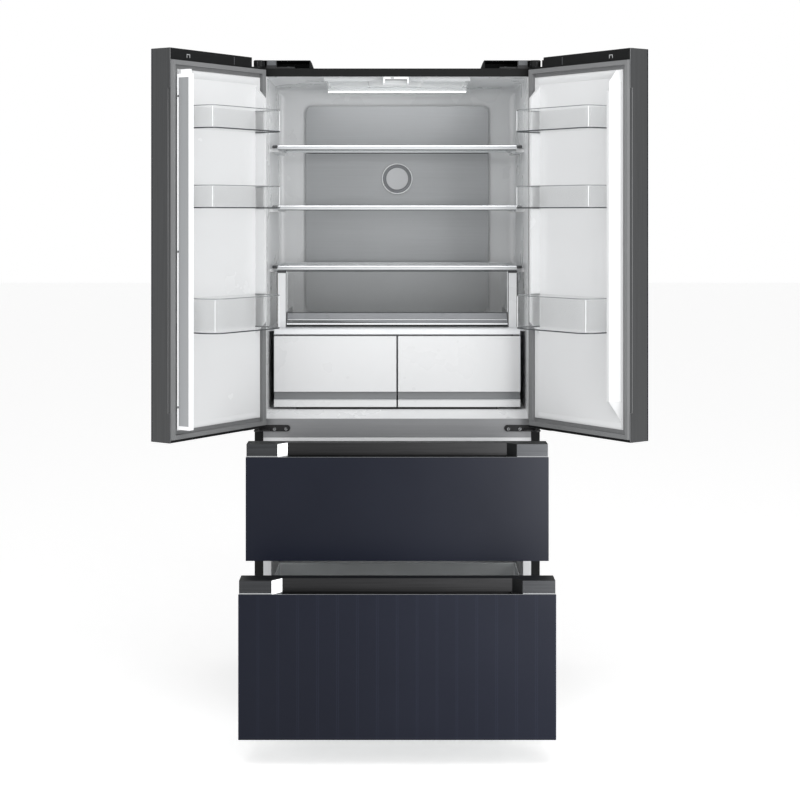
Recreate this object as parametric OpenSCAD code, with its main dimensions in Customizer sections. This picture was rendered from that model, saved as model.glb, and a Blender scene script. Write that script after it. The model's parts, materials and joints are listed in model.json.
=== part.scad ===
// French door refrigerator: two glass doors over two full-width freezer drawers.
// The frame stands on the floor (z = 0), centred under the cabinet; the front faces -Y.

/* [Cabinet] */
// Width of the cabinet
cab_w = 833; // [690:1:1000]
// Depth of the cabinet, without doors
cab_d = 570; // [475:1:690]
// Height of the cabinet's top above the floor
cab_h = 1874; // [1560:1:2250]
// Thickness of the outer sheet
sheet_t = 1.2; // [0.8:0.1:2]
// Thickness of the plastic liners
liner_t = 2; // [1.5:0.1:3]
// From the cabinet's side to the fresh food liner
side_wall = 35.5; // [30:0.5:43]
// From the cabinet's side to the freezer liner
freezer_wall = 48.5; // [44:0.5:60]
// From the cabinet's top to the fresh food ceiling
top_wall = 24; // [20:0.5:45]
// From the fresh food liner's back to the cabinet's back
back_wall = 70; // [55:1:90]
// Width of the dark front flange on each side
post_w = 25.5; // [20:0.5:29]
// Height of the cabinet's lower edge above the floor
base_z = 48; // [44:1:52]

/* [Levels] */
// Bottom of the lower freezer drawer's front
low_bottom = 71; // [66:1:80]
// Height of the lower freezer drawer's front
low_h = 417; // [350:1:500]
// Height of the upper freezer drawer's front
up_h = 321; // [270:1:385]
// Gap between the two drawer fronts
front_gap = 7; // [4:1:12]
// Height of the rail between doors and drawers
rail_h = 55; // [46:1:66]
// Rise of the fresh food floor above its front lip
sill_rise = 20; // [14:1:24]

/* [Doors] */
// Thickness of a door and of a drawer front
door_t = 68; // [57:1:82]
// Space between the front plane and a closed door
door_gap = 10; // [8.5:0.5:12]
// Gap between the two closed doors
centre_gap = 3; // [2:0.5:6]
// Door's top above the cabinet's top
door_rise = 24; // [22:1:30]
// Space between the upper drawer's top and the doors
door_lift = 14; // [12:1:18]
// Hinge axis from the door's side edge
hinge_in = 11.7; // [10:0.1:14]
// Hinge axis from the door's inner face
hinge_out = 21.6; // [18:0.1:26]
// Radius of a hinge pin
pin_r = 4.5; // [3.5:0.1:5.5]
// Radial clearance of a pin in its bore
bore_gap = 0.05; // [0.03:0.01:0.1]
// Thickness of the front glass
glass_t = 4; // [3:0.5:6]
// Height of a door's top cap
cap_h = 31; // [26:1:37]
// Height of a door's bottom cap
foot_cap_h = 7; // [6:1:9]
// Width of the metal border on the inner face
border_w = 30; // [28.5:0.5:34]
// Height of the gasket
seal_h = 9.5; // [6:0.1:9.5]
// Left door's opening in the stored pose
left_open = 124; // [0:1:132]
// Right door's opening in the stored pose
right_open = 127; // [0:1:132]

/* [Mullion] */
// Width of the flap that seals between the doors
flap_w = 43; // [36:1:48]
// Thickness of the flap
flap_t = 17.5; // [15:0.5:20]
// Radius of the flap's hinge pins
flap_pin_r = 1.5; // [1.2:0.1:1.6]

/* [Door bins] */
// Wall of a clear bin
bin_wall = 2.5; // [2:0.1:3.5]
// Reach of the two upper bins from the door's inner face
bin_reach = 103; // [86:1:108]
// Reach of the bottom bin from the door's inner face
deep_reach = 113; // [94:1:113]
// Height of the two upper bins
bin_h = 63; // [52:1:76]
// Height of the bottom bin
deep_h = 95; // [79:1:114]

/* [Inside] */
// Front edge of the shelves behind the front plane
shelf_front = 118; // [114:1:140]
// Thickness of a shelf's front trim
trim_h = 13; // [10:0.5:16]
// Thickness of the shelf glass
pane_t = 4; // [3:0.5:5]
// Front of the crispers behind the front plane
crisper_front = 60; // [58:1:72]
// Height of a crisper
crisper_h = 210; // [175:1:252]
// Height of the full-width drawer
deli_h = 167; // [139:1:200]
// Wall of the crispers and the full-width drawer
tub_wall = 2.5; // [2:0.1:3.5]

/* [Freezer drawers] */
// Upper drawer's pull in the stored pose
upper_pull = 211; // [0:1:450]
// Lower drawer's pull in the stored pose
lower_pull = 427; // [0:1:450]
// Height of the dark handle band
band_h = 36; // [30:1:43]
// Depth of the finger recess
grip_d = 30; // [25:1:34]
// Wall of a freezer basket
basket_wall = 3; // [2.5:0.1:4]

/* [Hidden] */
$fn = 48;

// Overshoot of a cut past the face it opens
over = 1;
// Gap that keeps two neighbouring pieces apart
seam = 0.2;

// Half widths and the front and back planes
half_w = cab_w/2;
front_y = -cab_d/2;
back_y = cab_d/2;
fridge_x = half_w - side_wall;
freezer_x = half_w - freezer_wall;
post_x = half_w - post_w;

// Levels worked out from the stack of fronts
low_top = low_bottom + low_h;
up_bottom = low_top + front_gap;
up_top = up_bottom + up_h;
rail_lo = up_top - 20;
rail_hi = rail_lo + rail_h;
door_bottom = up_top + door_lift;
door_top = cab_h + door_rise;
fridge_top = cab_h - top_wall;
fridge_floor = rail_hi + sill_rise;
fridge_depth = cab_d - back_wall;
mid_rail_lo = low_top - 21;
mid_rail_hi = up_bottom + 22;
up_cave_lo = mid_rail_hi;
up_cave_hi = rail_lo - 14;
low_cave_lo = 100;
low_cave_hi = mid_rail_lo;
up_cave_d = cab_d - 90;
low_cave_d = cab_d - 190;
machine_top = 330;
machine_d = low_cave_d + 27;
channel_d = 16;

// Doors, closed: u runs from the hinge edge to the free edge, v outwards from the inner face
door_w = (cab_w - centre_gap)/2;
pivot_x = half_w - hinge_in;
pivot_y = front_y - door_gap - hinge_out;
glass_v = door_t - glass_t;
cap_lo = door_top - cap_h;
foot_cap_hi = door_bottom + foot_cap_h;
side_t = 2;
face_t = 1.5;
// The drawers' inner panel ends this far under the top of the front
plug_drop = 46;
border_h = 25;
boss_r = 9;
boss_len = 15;
hinge_plate_t = 5;
cut_floor = cab_h - 2;
cut_u = 64;
cut_v = 52;
arm_r = 11.5;
lower_arm_z = up_top + 1.5;
lower_arm_t = 4.5;

// Sealing flap, hinged on the left door
flap_u = door_w - 18;
flap_v = -12.5;
flap_edge = 2.5;
flap_lo = rail_hi + 16;
flap_hi = fridge_top - 23;
flap_lug_z = [flap_lo + 60, (flap_lo + flap_hi)/2, flap_hi - 60];
flap_lug_t = 4;
lug_r = 3;
cam_p = [8, flap_w - 5];
cam_q = [-flap_t + 4.5, -3];
cam_h = 12;
guide_lo = flap_hi + 3;
guide_d = flap_w + 7;
guide_x = [-41, 34];

// Door liner's raised ribs and what hangs between them
rib_in = side_wall + 8;
rib_w = 8.5;
rib_h = 35;
free_rib_u = door_w - 56;
bin_u = [rib_in + rib_w, free_rib_u];
rib_hi = door_top - 82;
deep_z = fridge_floor + 254;
rib_lo = deep_z - 20;
top_bin_z = rib_hi - 135;
mid_bin_z = deep_z + (top_bin_z - deep_z)*0.611;

// Shelves and tubs inside the fresh food space
shelf_x = fridge_x - 17;
crisper_z = fridge_floor + 7;
cover_top = crisper_z + crisper_h + 22;
cover_h = 18;
deli_z = cover_top + 2;
deli_shelf_z = deli_z + deli_h + 2;
shelf_step = (fridge_top - deli_shelf_z - trim_h - 16)/3;
shelf_zs = [for (i = [0:2]) deli_shelf_z + i*shelf_step];
shelf_back = fridge_depth - 48;
deli_x = fridge_x - 50;
pillar_x = deli_x + 2;
tub_back = fridge_depth - 60;
crisper_x = fridge_x - 16.5;
crisper_grip = [22, 45];

// Freezer slides: a fixed channel, a middle member and the drawer's own bar
slide_step = [10, 17, 27];
basket_x = freezer_x - slide_step[2];
slide_h = [18, 15, 10];
up_slide_z = up_bottom + 120;
low_slide_z = low_bottom + 180;
up_slide_d = up_cave_d - 90;
low_slide_d = low_cave_d - 12;

// Small running gear under the cabinet
foot_x = half_w - 31.5;
foot_y = front_y + 40;
foot_r = 20;
stem_r = 5;
roller_r = 22;
roller_w = 18;
roller_y = back_y - 50;
axle_r = 4;
rail_w = 42;
fan_x = 20;
fan_z = 150;
fan_y = back_y - 82;
fan_shaft_r = 2;
fan_r = 55;
evap_z = up_cave_lo + 20;
evap_fan_z = up_cave_hi - 60;
evap_cover_d = up_cave_d - 66;

// A box from its low corner to its high corner
module span(lo, hi) translate(lo) cube(hi - lo);

// A box behind the front plane: d counts backwards from it
module inset(x, d, z) span([x[0], front_y + d[0], z[0]], [x[1], front_y + d[1], z[1]]);

// A box in a closed door: u from the hinge edge, v outwards from the inner face
module slab(u, v, z) span([u[0], -v[1], z[0]], [u[1], -v[0], z[1]]);

// The same piece on both sides
module pair() {
    children();
    mirror([1, 0, 0]) children();
}

// A rectangle with its corners rounded
module round_rect(lo, hi, r) {
    translate([lo[0] + r, lo[1]]) square([hi[0] - lo[0] - 2*r, hi[1] - lo[1]]);
    translate([lo[0], lo[1] + r]) square([hi[0] - lo[0], hi[1] - lo[1] - 2*r]);
    for (x = [lo[0] + r, hi[0] - r], y = [lo[1] + r, hi[1] - r]) translate([x, y]) circle(r);
}

// Stands a side profile, drawn as depth and height, across the cabinet
module across(x0, x1) translate([x0, front_y, 0]) rotate([90, 0, 90]) linear_extrude(x1 - x0) children();

// Puts a closed left-hand door piece on its hinge at the given opening
module hung(angle) {
    translate([-pivot_x, pivot_y, 0]) rotate([0, 0, -angle]) translate([-hinge_in, hinge_out, 0])
        children();
}
module left_hung() hung(left_open) children();
module right_hung() mirror([1, 0, 0]) hung(right_open) children();

// Holes for the hinge screws: two in each lower bracket, two in each top plate
module lower_screw_places() {
    for (x = [pivot_x - 80.3, pivot_x - 46.8]) translate([x, front_y, up_top + 5]) rotate([90, 0, 0])
        children();
}
module top_screw_places() {
    for (x = [pivot_x - 85, pivot_x - 25]) translate([x, front_y + 55, cab_h]) children();
}

// ---- cabinet ----

module outer_shell() color("#2b2c2e") difference() {
    span([-half_w, front_y, base_z], [half_w, back_y, cab_h]);
    span([-half_w + sheet_t, front_y + sheet_t, base_z - over],
        [half_w - sheet_t, back_y + over, cab_h - sheet_t]);
    span([-post_x, front_y - over, base_z - over], [post_x, front_y + 2*over, fridge_top]);
    pair() top_screw_places() translate([0, 0, -5]) cylinder(h = 10, r = 2.9);
}

module back_cover() color("#b9bcbf")
    span([-half_w + sheet_t, back_y - sheet_t, machine_top + seam],
        [half_w - sheet_t, back_y, cab_h - sheet_t]);

// Foam boards round the three liners
module insulation() color("#e8dfb6") {
    foam_x = half_w - sheet_t;
    foam_d = cab_d - 4;
    foam_z = base_z + 4;
    inner_x = fridge_x + liner_t + seam;
    cold_x = freezer_x + liner_t + seam;
    floor_z = fridge_floor - liner_t - seam;
    low_back = low_cave_d + liner_t + seam;
    pair() inset([inner_x + seam, foam_x], [2, foam_d], [foam_z, cab_h - sheet_t]);
    pair() inset([cold_x, inner_x], [2, foam_d], [foam_z, rail_lo - 2*seam]);
    inset([-inner_x, inner_x], [2, foam_d], [fridge_top + liner_t + seam, cab_h - sheet_t]);
    inset([-inner_x, inner_x], [fridge_depth + liner_t + seam, foam_d],
        [fridge_floor - liner_t, fridge_top + liner_t]);
    across(-inner_x, inner_x) polygon([[channel_d + seam, rail_lo], [foam_d, rail_lo], [foam_d, floor_z],
        [crisper_front, floor_z], [channel_d + seam, floor_z - sill_rise*(1 - channel_d/crisper_front)]]);
    inset([-cold_x + seam, cold_x - seam], [2, foam_d], [up_cave_hi + liner_t + seam, rail_lo - seam]);
    inset([-cold_x + seam, cold_x - seam], [up_cave_d + liner_t + seam, foam_d],
        [mid_rail_hi, up_cave_hi + liner_t]);
    inset([-cold_x + seam, cold_x - seam], [channel_d + seam, foam_d],
        [mid_rail_lo + liner_t + seam, mid_rail_hi - liner_t - seam]);
    inset([-cold_x + seam, cold_x - seam], [low_back, machine_d], [foam_z, mid_rail_lo + liner_t]);
    inset([-cold_x + seam, cold_x - seam], [machine_d + seam, foam_d],
        [machine_top + 2*seam, mid_rail_lo + liner_t]);
    inset([-cold_x + seam, cold_x - seam], [2, low_back - seam], [foam_z, low_cave_lo - liner_t - seam]);
}

// Side profile of the fresh food space, grown by t
module fridge_profile(t) polygon([
    [-over, rail_hi - t], [0, rail_hi - t], [crisper_front, fridge_floor - t],
    [fridge_depth + t, fridge_floor - t], [fridge_depth + t, fridge_top + t], [-over, fridge_top + t]]);

module fridge_liner() color("#f2f3f4") {
    difference() {
        union() {
            intersection() {
                across(-fridge_x - liner_t, fridge_x + liner_t) fridge_profile(liner_t);
                union() {
                    inset([-half_w, half_w], [face_t + seam, cab_d], [0, cab_h]);
                    inset([-half_w, half_w], [0, cab_d], [rail_hi, fridge_top]);
                }
            }
            inset([-post_x, post_x], [0, sheet_t], [rail_hi, fridge_top]);
        }
        across(-fridge_x, fridge_x) fridge_profile(0);
    }
    // Ledges that carry the shelves
    for (z = shelf_zs) pair()
        inset([shelf_x - 8, fridge_x + seam], [shelf_front + 16, shelf_back], [z - 6, z + 3]);
}

// Two freezer tubs with their front flanges
module freezer_liner() color("#eef0f2") {
    tub([up_cave_lo, up_cave_hi], up_cave_d, [mid_rail_hi, rail_lo - seam]);
    tub([low_cave_lo, low_cave_hi], low_cave_d, [low_bottom, mid_rail_lo - seam]);
}
module tub(z, depth, flange) difference() {
    union() {
        inset([-freezer_x - liner_t, freezer_x + liner_t], [0, depth + liner_t],
            [z[0] - liner_t, z[1] + liner_t]);
        inset([-post_x, post_x], [0, sheet_t], flange);
    }
    inset([-freezer_x, freezer_x], [-over, depth], z);
    // Set back behind the rails' faces
    inset([-half_w, half_w], [-over, face_t + seam], [flange[1], flange[1] + 50]);
    inset([-half_w, half_w], [-over, face_t + seam], [flange[0] - 50, flange[0]]);
}

// Steel channels across the front: one between doors and drawers, one between the drawers
module front_rails() color("#8b8d90") difference() {
    union() {
        front_channel(rail_lo, rail_hi - liner_t - 2*seam, rail_hi - seam);
        front_channel(mid_rail_lo + liner_t + seam, mid_rail_hi - liner_t - seam, mid_rail_hi - seam);
    }
    pair() lower_screw_places() translate([0, 0, -5]) cylinder(h = 10, r = 2.7);
}
module front_channel(lo, hi, face_hi) {
    inset([-post_x + seam, post_x - seam], [0, face_t], [lo, face_hi]);
    inset([-freezer_x, freezer_x], [0, channel_d - seam], [lo, lo + face_t]);
    inset([-freezer_x, freezer_x], [0, channel_d - seam], [hi - face_t, hi]);
}

// Brushed metal panel that hides the air duct on the back wall
module cooling_panel() color("#a9abad") {
    x = fridge_x - 88;
    translate([0, front_y + fridge_depth, 0]) rotate([90, 0, 0]) linear_extrude(12)
        round_rect([-x, cover_top + 24], [x, fridge_top - 55], 22);
}

// Round deodorising filter clipped to the panel
module air_filter() color("#c9cacb")
    translate([0, front_y + fridge_depth - 12, shelf_zs[1] + 101]) rotate([90, 0, 0]) difference() {
        union() {
            cylinder(h = 9, r = 49);
            cylinder(h = 11, r = 35);
        }
        translate([0, 0, 5]) rotate_extrude() translate([35, 0]) square([11, 8]);
    }

// Flat lamp lens with the light bar behind it
module ceiling_lamp() color("#f7f7f2") {
    x = fridge_x - 165;
    inset([-x, x], [60, 330], [fridge_top - 8, fridge_top]);
    inset([-x, x], [330, 342], [fridge_top - 23, fridge_top]);
}

// Upturned tray that swings the sealing flap by its cam
module mullion_guide() color("#f4f5f6") difference() {
    inset(guide_x, [3, guide_d], [guide_lo, fridge_top]);
    inset([guide_x[0] + 5, guide_x[1] - 5], [2, guide_d - 4], [guide_lo - over, guide_lo + cam_h + 1]);
}

module shelf_outline(inner) inset([-shelf_x + inner, shelf_x - inner],
    [shelf_front + inner, shelf_back - inner], [0, trim_h]);

module shelf_frames() color("#9fa2a5") for (z = shelf_zs) translate([0, 0, z]) difference() {
    shelf_outline(0);
    inset([-shelf_x + 16, shelf_x - 16], [shelf_front + 16, shelf_back - 16], [-over, trim_h + over]);
    inset([-shelf_x + 10, shelf_x - 10], [shelf_front + 10, shelf_back - 10],
        [trim_h - pane_t - 1, trim_h + over]);
    inset([-shelf_x - over, shelf_x + over], [shelf_front + 14, cab_d], [-over, 3]);
}

module shelf_glass() color("#cfe3e6", 0.4) for (z = shelf_zs) translate([0, 0, z + trim_h - pane_t - 1])
    inset([-shelf_x + 10 + seam, shelf_x - 10 - seam], [shelf_front + 10 + seam, shelf_back - 10 - seam],
        [0, pane_t]);

// White pillars and low guides on both sides of the full-width drawer
module deli_frame() color("#f4f5f6") pair() {
    inset([pillar_x, pillar_x + 24], [shelf_front - 6, shelf_front + 6], [cover_top, deli_shelf_z - seam]);
    inset([pillar_x, pillar_x + 4], [shelf_front + 6, tub_back], [cover_top, cover_top + 45]);
}

// Cover over the two crispers
module crisper_cover() color("#dcdee0") {
    inset([-shelf_x, shelf_x], [crisper_front + 4, crisper_front + 12], [cover_top - cover_h, cover_top]);
    inset([-shelf_x, shelf_x], [crisper_front + 12, shelf_back], [cover_top - 6, cover_top]);
    pair() inset([shelf_x, fridge_x], [crisper_front + 40, shelf_back], [cover_top - 10, cover_top - 3]);
}

// ---- hinges ----

module hinge_covers() color("#1d1e20") pair() difference() {
    translate([0, front_y + 95, 0]) rotate([90, 0, 0]) linear_extrude(92) polygon([
        [pivot_x - 160, cab_h], [pivot_x - 151, door_top], [half_w - over, door_top], [half_w - over, cab_h]]);
    span([pivot_x - 148, front_y, cab_h - over], [half_w - 3, front_y + 92, door_top - 2.5]);
}

// Top plates with downward pins and lower brackets with upward pins
module door_hinges() color("#3a3b3d") pair() {
    difference() {
        union() {
            inset([pivot_x - 105, pivot_x + 6], [8, 88], [cab_h, cab_h + hinge_plate_t]);
            span([pivot_x - arm_r + 2, pivot_y, cab_h], [pivot_x + 6, front_y + 10, cab_h + hinge_plate_t]);
            translate([pivot_x, pivot_y, cab_h]) cylinder(h = 16, r = arm_r - 1);
            translate([pivot_x, pivot_y, cap_lo - boss_len + 2]) cylinder(h = cap_h, r = pin_r);
            inset([pivot_x - 53, pivot_x - 23], [0, 2.5], [cab_h + 4, door_top - 2]);
            inset([pivot_x - 53, pivot_x - 23], [0, 14], [cab_h, cab_h + hinge_plate_t]);
        }
        top_screw_places() translate([0, 0, -5]) cylinder(h = 15, r = 2.9);
    }
    difference() {
        union() {
            bracket_z = up_top + 7.5;
            inset([pivot_x - 83, half_w - 2], [-3, 0], [bracket_z - 9.5, bracket_z + 9.5]);
            translate([pivot_x - 83, front_y, bracket_z]) rotate([90, 0, 0]) cylinder(h = 3, r = 9.5);
            span([pivot_x - 33, pivot_y, lower_arm_z], [half_w - 2, front_y - 2, lower_arm_z + lower_arm_t]);
            translate([pivot_x, pivot_y, lower_arm_z]) cylinder(h = lower_arm_t, r = arm_r);
            translate([pivot_x, pivot_y, lower_arm_z]) cylinder(h = foot_cap_hi - lower_arm_z + boss_len - 3, r = pin_r);
        }
        lower_screw_places() translate([0, 0, -5]) cylinder(h = 15, r = 2.7);
        translate([pivot_x - 33, pivot_y - arm_r, lower_arm_z - over]) rotate([0, 0, 45])
            translate([-20, -10, 0]) cube([26, 26, 10]);
    }
}

module hinge_screws() color("#9a9c9f") pair() {
    lower_screw_places() {
        translate([0, 0, -10]) cylinder(h = 13, r = 2.6);
        translate([0, 0, 3]) cylinder(h = 2.6, r = 4.6);
    }
    top_screw_places() {
        translate([0, 0, -sheet_t]) cylinder(h = hinge_plate_t + 2, r = 2.8);
        translate([0, 0, hinge_plate_t]) cylinder(h = 4, r = 5.5, $fn = 6);
    }
}

// ---- base ----

module base_frame() color("#4a4b4d") {
    rail_x = half_w - rail_w - 6;
    difference() {
        union() {
            pair() inset([rail_x, rail_x + rail_w], [6, cab_d - 6], [34, base_z + 3]);
            pair() for (x = [foot_x - roller_w/2 - 6, foot_x + roller_w/2 + 2])
                span([x, roller_y - 14, 12], [x + 4, roller_y + 14, 35]);
            inset([-rail_x - over, rail_x + over], [6, 30], [36, base_z + 3]);
            inset([-rail_x - over, rail_x + over], [machine_d + 2, cab_d - 8], [45, base_z]);
        }
        pair() translate([foot_x, foot_y, 0]) cylinder(h = 80, r = stem_r + bore_gap);
        translate([-half_w, roller_y, roller_r]) rotate([0, 90, 0]) cylinder(h = cab_w, r = axle_r + bore_gap);
        pair() span([foot_x - roller_w/2 - 2, roller_y - 26, 0], [foot_x + roller_w/2 + 2, roller_y + 26, base_z]);
    }
}

// Louvred plinth below the lower drawer
module kick_plate() color("#26272a") difference() {
    inset([-half_w + 4, half_w - 4], [-6, 0], [14, low_bottom - 5]);
    inset([-half_w + 7, half_w - 7], [-3, over], [17, low_bottom + over]);
    for (i = [-7:7], z = [24:10:44]) inset([i*48 - 18, i*48 + 18], [-7, 0], [z, z + 5]);
}

// Vented cover of the machine room, with the gland for the supply cord
module machine_cover() color("#a4a7aa") {
    difference() {
        inset([-half_w + sheet_t + seam, half_w - sheet_t - seam], [cab_d - 3, cab_d], [base_z + 4, machine_top]);
        for (i = [-5:5], z = [base_z + 100:32:machine_top - 30])
            inset([i*64 - 24, i*64 + 24], [cab_d - 4, cab_d + over], [z, z + 9]);
    }
    translate([half_w - 190, back_y - 12, base_z + 56]) rotate([-90, 0, 0]) difference() {
        cylinder(h = 12, r = 9);
        translate([0, 0, -over]) cylinder(h = 14, r = 4);
    }
}

// Compressor on its rubber mounts, with the defrost water tray above it
module compressor() color("#1b1c1e") {
    x = -200;
    y = back_y - 82;
    translate([x, y, base_z + 14]) rotate_extrude() polygon([[0, 0], [50, 0], [66, 16], [66, 100], [56, 126],
        [30, 138], [0, 140]]);
    translate([x, y, base_z + 10]) linear_extrude(4) round_rect([-95, -62], [95, 62], 12);
    for (i = [-1, 1], j = [-1, 1]) translate([x + i*80, y + j*48, base_z]) cylinder(h = 10, r = 9);
    translate([x, y, base_z + 170]) difference() {
        linear_extrude(34) round_rect([-120, -70], [120, 70], 10);
        translate([0, 0, 3]) linear_extrude(34) round_rect([-117, -67], [117, 67], 8);
    }
    for (i = [-1, 1]) span([x + i*105 - 6, y - 8, base_z], [x + i*105 + 6, y + 8, base_z + 170 + seam]);
}

// Finned condenser block, its fan shroud and the fan motor
module condenser() color("#6f7275") {
    x = fan_x + 62;
    for (i = [0:26]) span([x + i*9, fan_y - 60, base_z], [x + i*9 + 1.5, fan_y + 60, base_z + 150]);
    for (j = [-1:1], k = [0:3]) translate([x - 6, fan_y + j*38, base_z + 22 + k*36]) rotate([0, 90, 0])
        cylinder(h = 27*9 + 8, r = 4);
    difference() {
        span([x - 30, fan_y - 70, base_z], [x - 24, fan_y + 70, base_z + 172]);
        translate([x - 31, fan_y, fan_z]) rotate([0, 90, 0]) cylinder(h = 10, r = fan_r + 4);
    }
    difference() {
        union() {
            span([x - 33, fan_y - 18, base_z], [x - 13, fan_y + 18, fan_z - 17]);
            translate([x - 33, fan_y, fan_z]) rotate([0, 90, 0]) cylinder(h = 20, r = 20);
        }
        translate([x - 34, fan_y, fan_z]) rotate([0, 90, 0]) cylinder(h = 18, r = fan_shaft_r + bore_gap);
    }
}

module fan_blades(r) {
    difference() {
        cylinder(h = 16, r = 13);
        translate([0, 0, 14]) cylinder(h = 4, r = 10);
    }
    for (a = [0:72:288]) rotate([0, 0, a]) translate([11, 0, 8]) rotate([32, 0, 0])
        translate([0, -12, -1]) cube([r - 11, 24, 2]);
}

module condenser_fan() color("#34363a") translate([fan_x + 4, fan_y, fan_z]) rotate([0, 90, 0]) {
    fan_blades(fan_r - 2);
    translate([0, 0, 10]) cylinder(h = 30, r = fan_shaft_r);
}

// Finned evaporator with its fan motor, and the vented panel in front of them
module evaporator() color("#b4b8bb") {
    d0 = evap_cover_d + 8;
    d1 = up_cave_d;
    difference() {
        inset([-freezer_x + seam, freezer_x - seam], [evap_cover_d, evap_cover_d + 3],
            [up_cave_lo + seam, up_cave_hi - seam]);
        for (x = [-6:6], z = [up_cave_hi - 70, up_cave_hi - 50])
            inset([x*22 - 7, x*22 + 7], [evap_cover_d - over, evap_cover_d + 4], [z, z + 9]);
    }
    for (i = [-22:22]) inset([i*11 - 0.75, i*11 + 0.75], [d0, d1], [evap_z, evap_z + 120]);
    for (d = [d0 + 14, d1 - 18], k = [0:3]) translate([-258, front_y + d, evap_z + 15 + k*30]) rotate([0, 90, 0])
        cylinder(h = 516, r = 4);
    translate([0, front_y + d1 - 22, evap_fan_z]) rotate([-90, 0, 0]) difference() {
        cylinder(h = 22, r = 17);
        translate([0, 0, -over]) cylinder(h = 18, r = fan_shaft_r + bore_gap);
    }
}

module evaporator_fan() color("#d8dadc")
    translate([0, front_y + evap_cover_d + 10, evap_fan_z]) rotate([-90, 0, 0]) {
        fan_blades(46);
        translate([0, 0, 10]) cylinder(h = 38, r = fan_shaft_r);
    }

// Two transport rollers on one axle
module rear_rollers() color("#2a2b2d") {
    translate([-foot_x - 16, roller_y, roller_r]) rotate([0, 90, 0]) cylinder(h = 2*foot_x + 32, r = axle_r);
    for (x = [-foot_x, foot_x]) translate([x - roller_w/2, roller_y, roller_r]) rotate([0, 90, 0])
        cylinder(h = roller_w, r = roller_r);
}

module foot() translate([foot_x, foot_y, 0]) {
    cylinder(h = 9, r = foot_r);
    cylinder(h = 12, r = 11, $fn = 6);
    cylinder(h = base_z - 2, r = stem_r);
}
module right_foot() color("#2a2b2d") foot();
module left_foot() color("#2a2b2d") mirror([1, 0, 0]) foot();

// ---- doors ----

module door_glass() slab([0, door_w], [glass_v, door_t], [door_bottom, door_top]);

// Metal rim: side walls, free-side trim over the full height and the border of the inner face
module door_frame() {
    difference() {
        slab([0, door_w], [0, glass_v], [foot_cap_hi, cap_lo]);
        slab([side_t, door_w - side_t], [face_t, glass_v + over], [foot_cap_hi - over, cap_lo + over]);
        slab([border_w, door_w - 27], [-over, face_t + over], [foot_cap_hi + border_h, cap_lo - border_h]);
    }
    slab([door_w - side_t, door_w], [0, glass_v], [door_bottom, door_top]);
}

// Finger line down the free edge
module door_edge_block() slab([door_w - 8, door_w - side_t], [face_t, 12], [foot_cap_hi, cap_lo]);
module door_edge_groove() slab([door_w - 2.6, door_w + over], [-over, 8], [door_bottom + 80, door_top - 108]);

module rimmed_door() difference() {
    union() {
        door_frame();
        door_edge_block();
    }
    door_edge_groove();
}

// Lugs and pins that carry the sealing flap
module flap_lugs() for (z = flap_lug_z) {
    slab([flap_u - lug_r, flap_u + lug_r], [flap_v, 0], [z - flap_lug_t/2, z + flap_lug_t/2]);
    translate([flap_u, -flap_v, z - flap_lug_t/2]) cylinder(h = flap_lug_t, r = lug_r);
    translate([flap_u, -flap_v, z - 14]) cylinder(h = 28, r = flap_pin_r);
}

// Black end caps with the hinge bushes; the top one is cut away over the hinge arm
module door_caps() {
    cap_w = door_w - side_t;
    difference() {
        union() {
            slab([0, cap_w], [0, glass_v], [cap_lo, door_top]);
            translate([hinge_in, -hinge_out, cap_lo - boss_len]) cylinder(h = boss_len + over, r = boss_r - 1);
        }
        slab([-over, cut_u], [-over, cut_v], [cut_floor, door_top + over]);
        translate([hinge_in, -hinge_out, cap_lo - boss_len - over]) cylinder(h = 60, r = pin_r + bore_gap);
    }
    difference() {
        union() {
            slab([0, cap_w], [0, glass_v], [door_bottom, foot_cap_hi]);
            translate([hinge_in, -hinge_out, foot_cap_hi - over]) cylinder(h = boss_len + over, r = boss_r - 1);
            slab([hinge_in + 11, hinge_in + 55], [28, 46], [door_bottom - 6, door_bottom + over]);
        }
        translate([hinge_in, -hinge_out, door_bottom - over]) cylinder(h = 60, r = pin_r + bore_gap);
    }
}

// White inner panel, filled with foam, with the two ribs that hold the bins
module door_liner() {
    difference() {
        slab([side_t + seam, door_w - 8 - seam], [face_t + seam, glass_v - seam],
            [foot_cap_hi + seam, cap_lo - seam]);
        for (z = [foot_cap_hi - over, cap_lo - boss_len - seam]) translate([hinge_in, -hinge_out, z])
            cylinder(h = boss_len + seam + over, r = boss_r - 0.8);
    }
    slab([border_w + seam, door_w - 27 - seam], [-2, face_t + over],
        [foot_cap_hi + border_h + seam, cap_lo - border_h - seam]);
    door_rib(rib_in, rib_lo, rib_hi);
    door_rib(free_rib_u, rib_lo - 200, rib_hi);
}

// A rib with ends sloped at 45 degrees
module door_rib(u, lo, hi) translate([u, 0, 0]) rotate([90, 0, 90]) linear_extrude(rib_w)
    polygon([[0, lo], [rib_h, lo + rib_h], [rib_h, hi - rib_h], [0, hi]]);

module ring(u, v, z, w_u, w_z) difference() {
    slab(u, v, z);
    slab([u[0] + w_u[0], u[1] - w_u[1]], [v[0] - over, v[1] + over], [z[0] + w_z, z[1] - w_z]);
}
module door_gasket() ring([14, door_w - 2.8], [-seal_h, 0], [door_bottom + 9, cap_lo - 2], [14, 9.8], 12);

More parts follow.
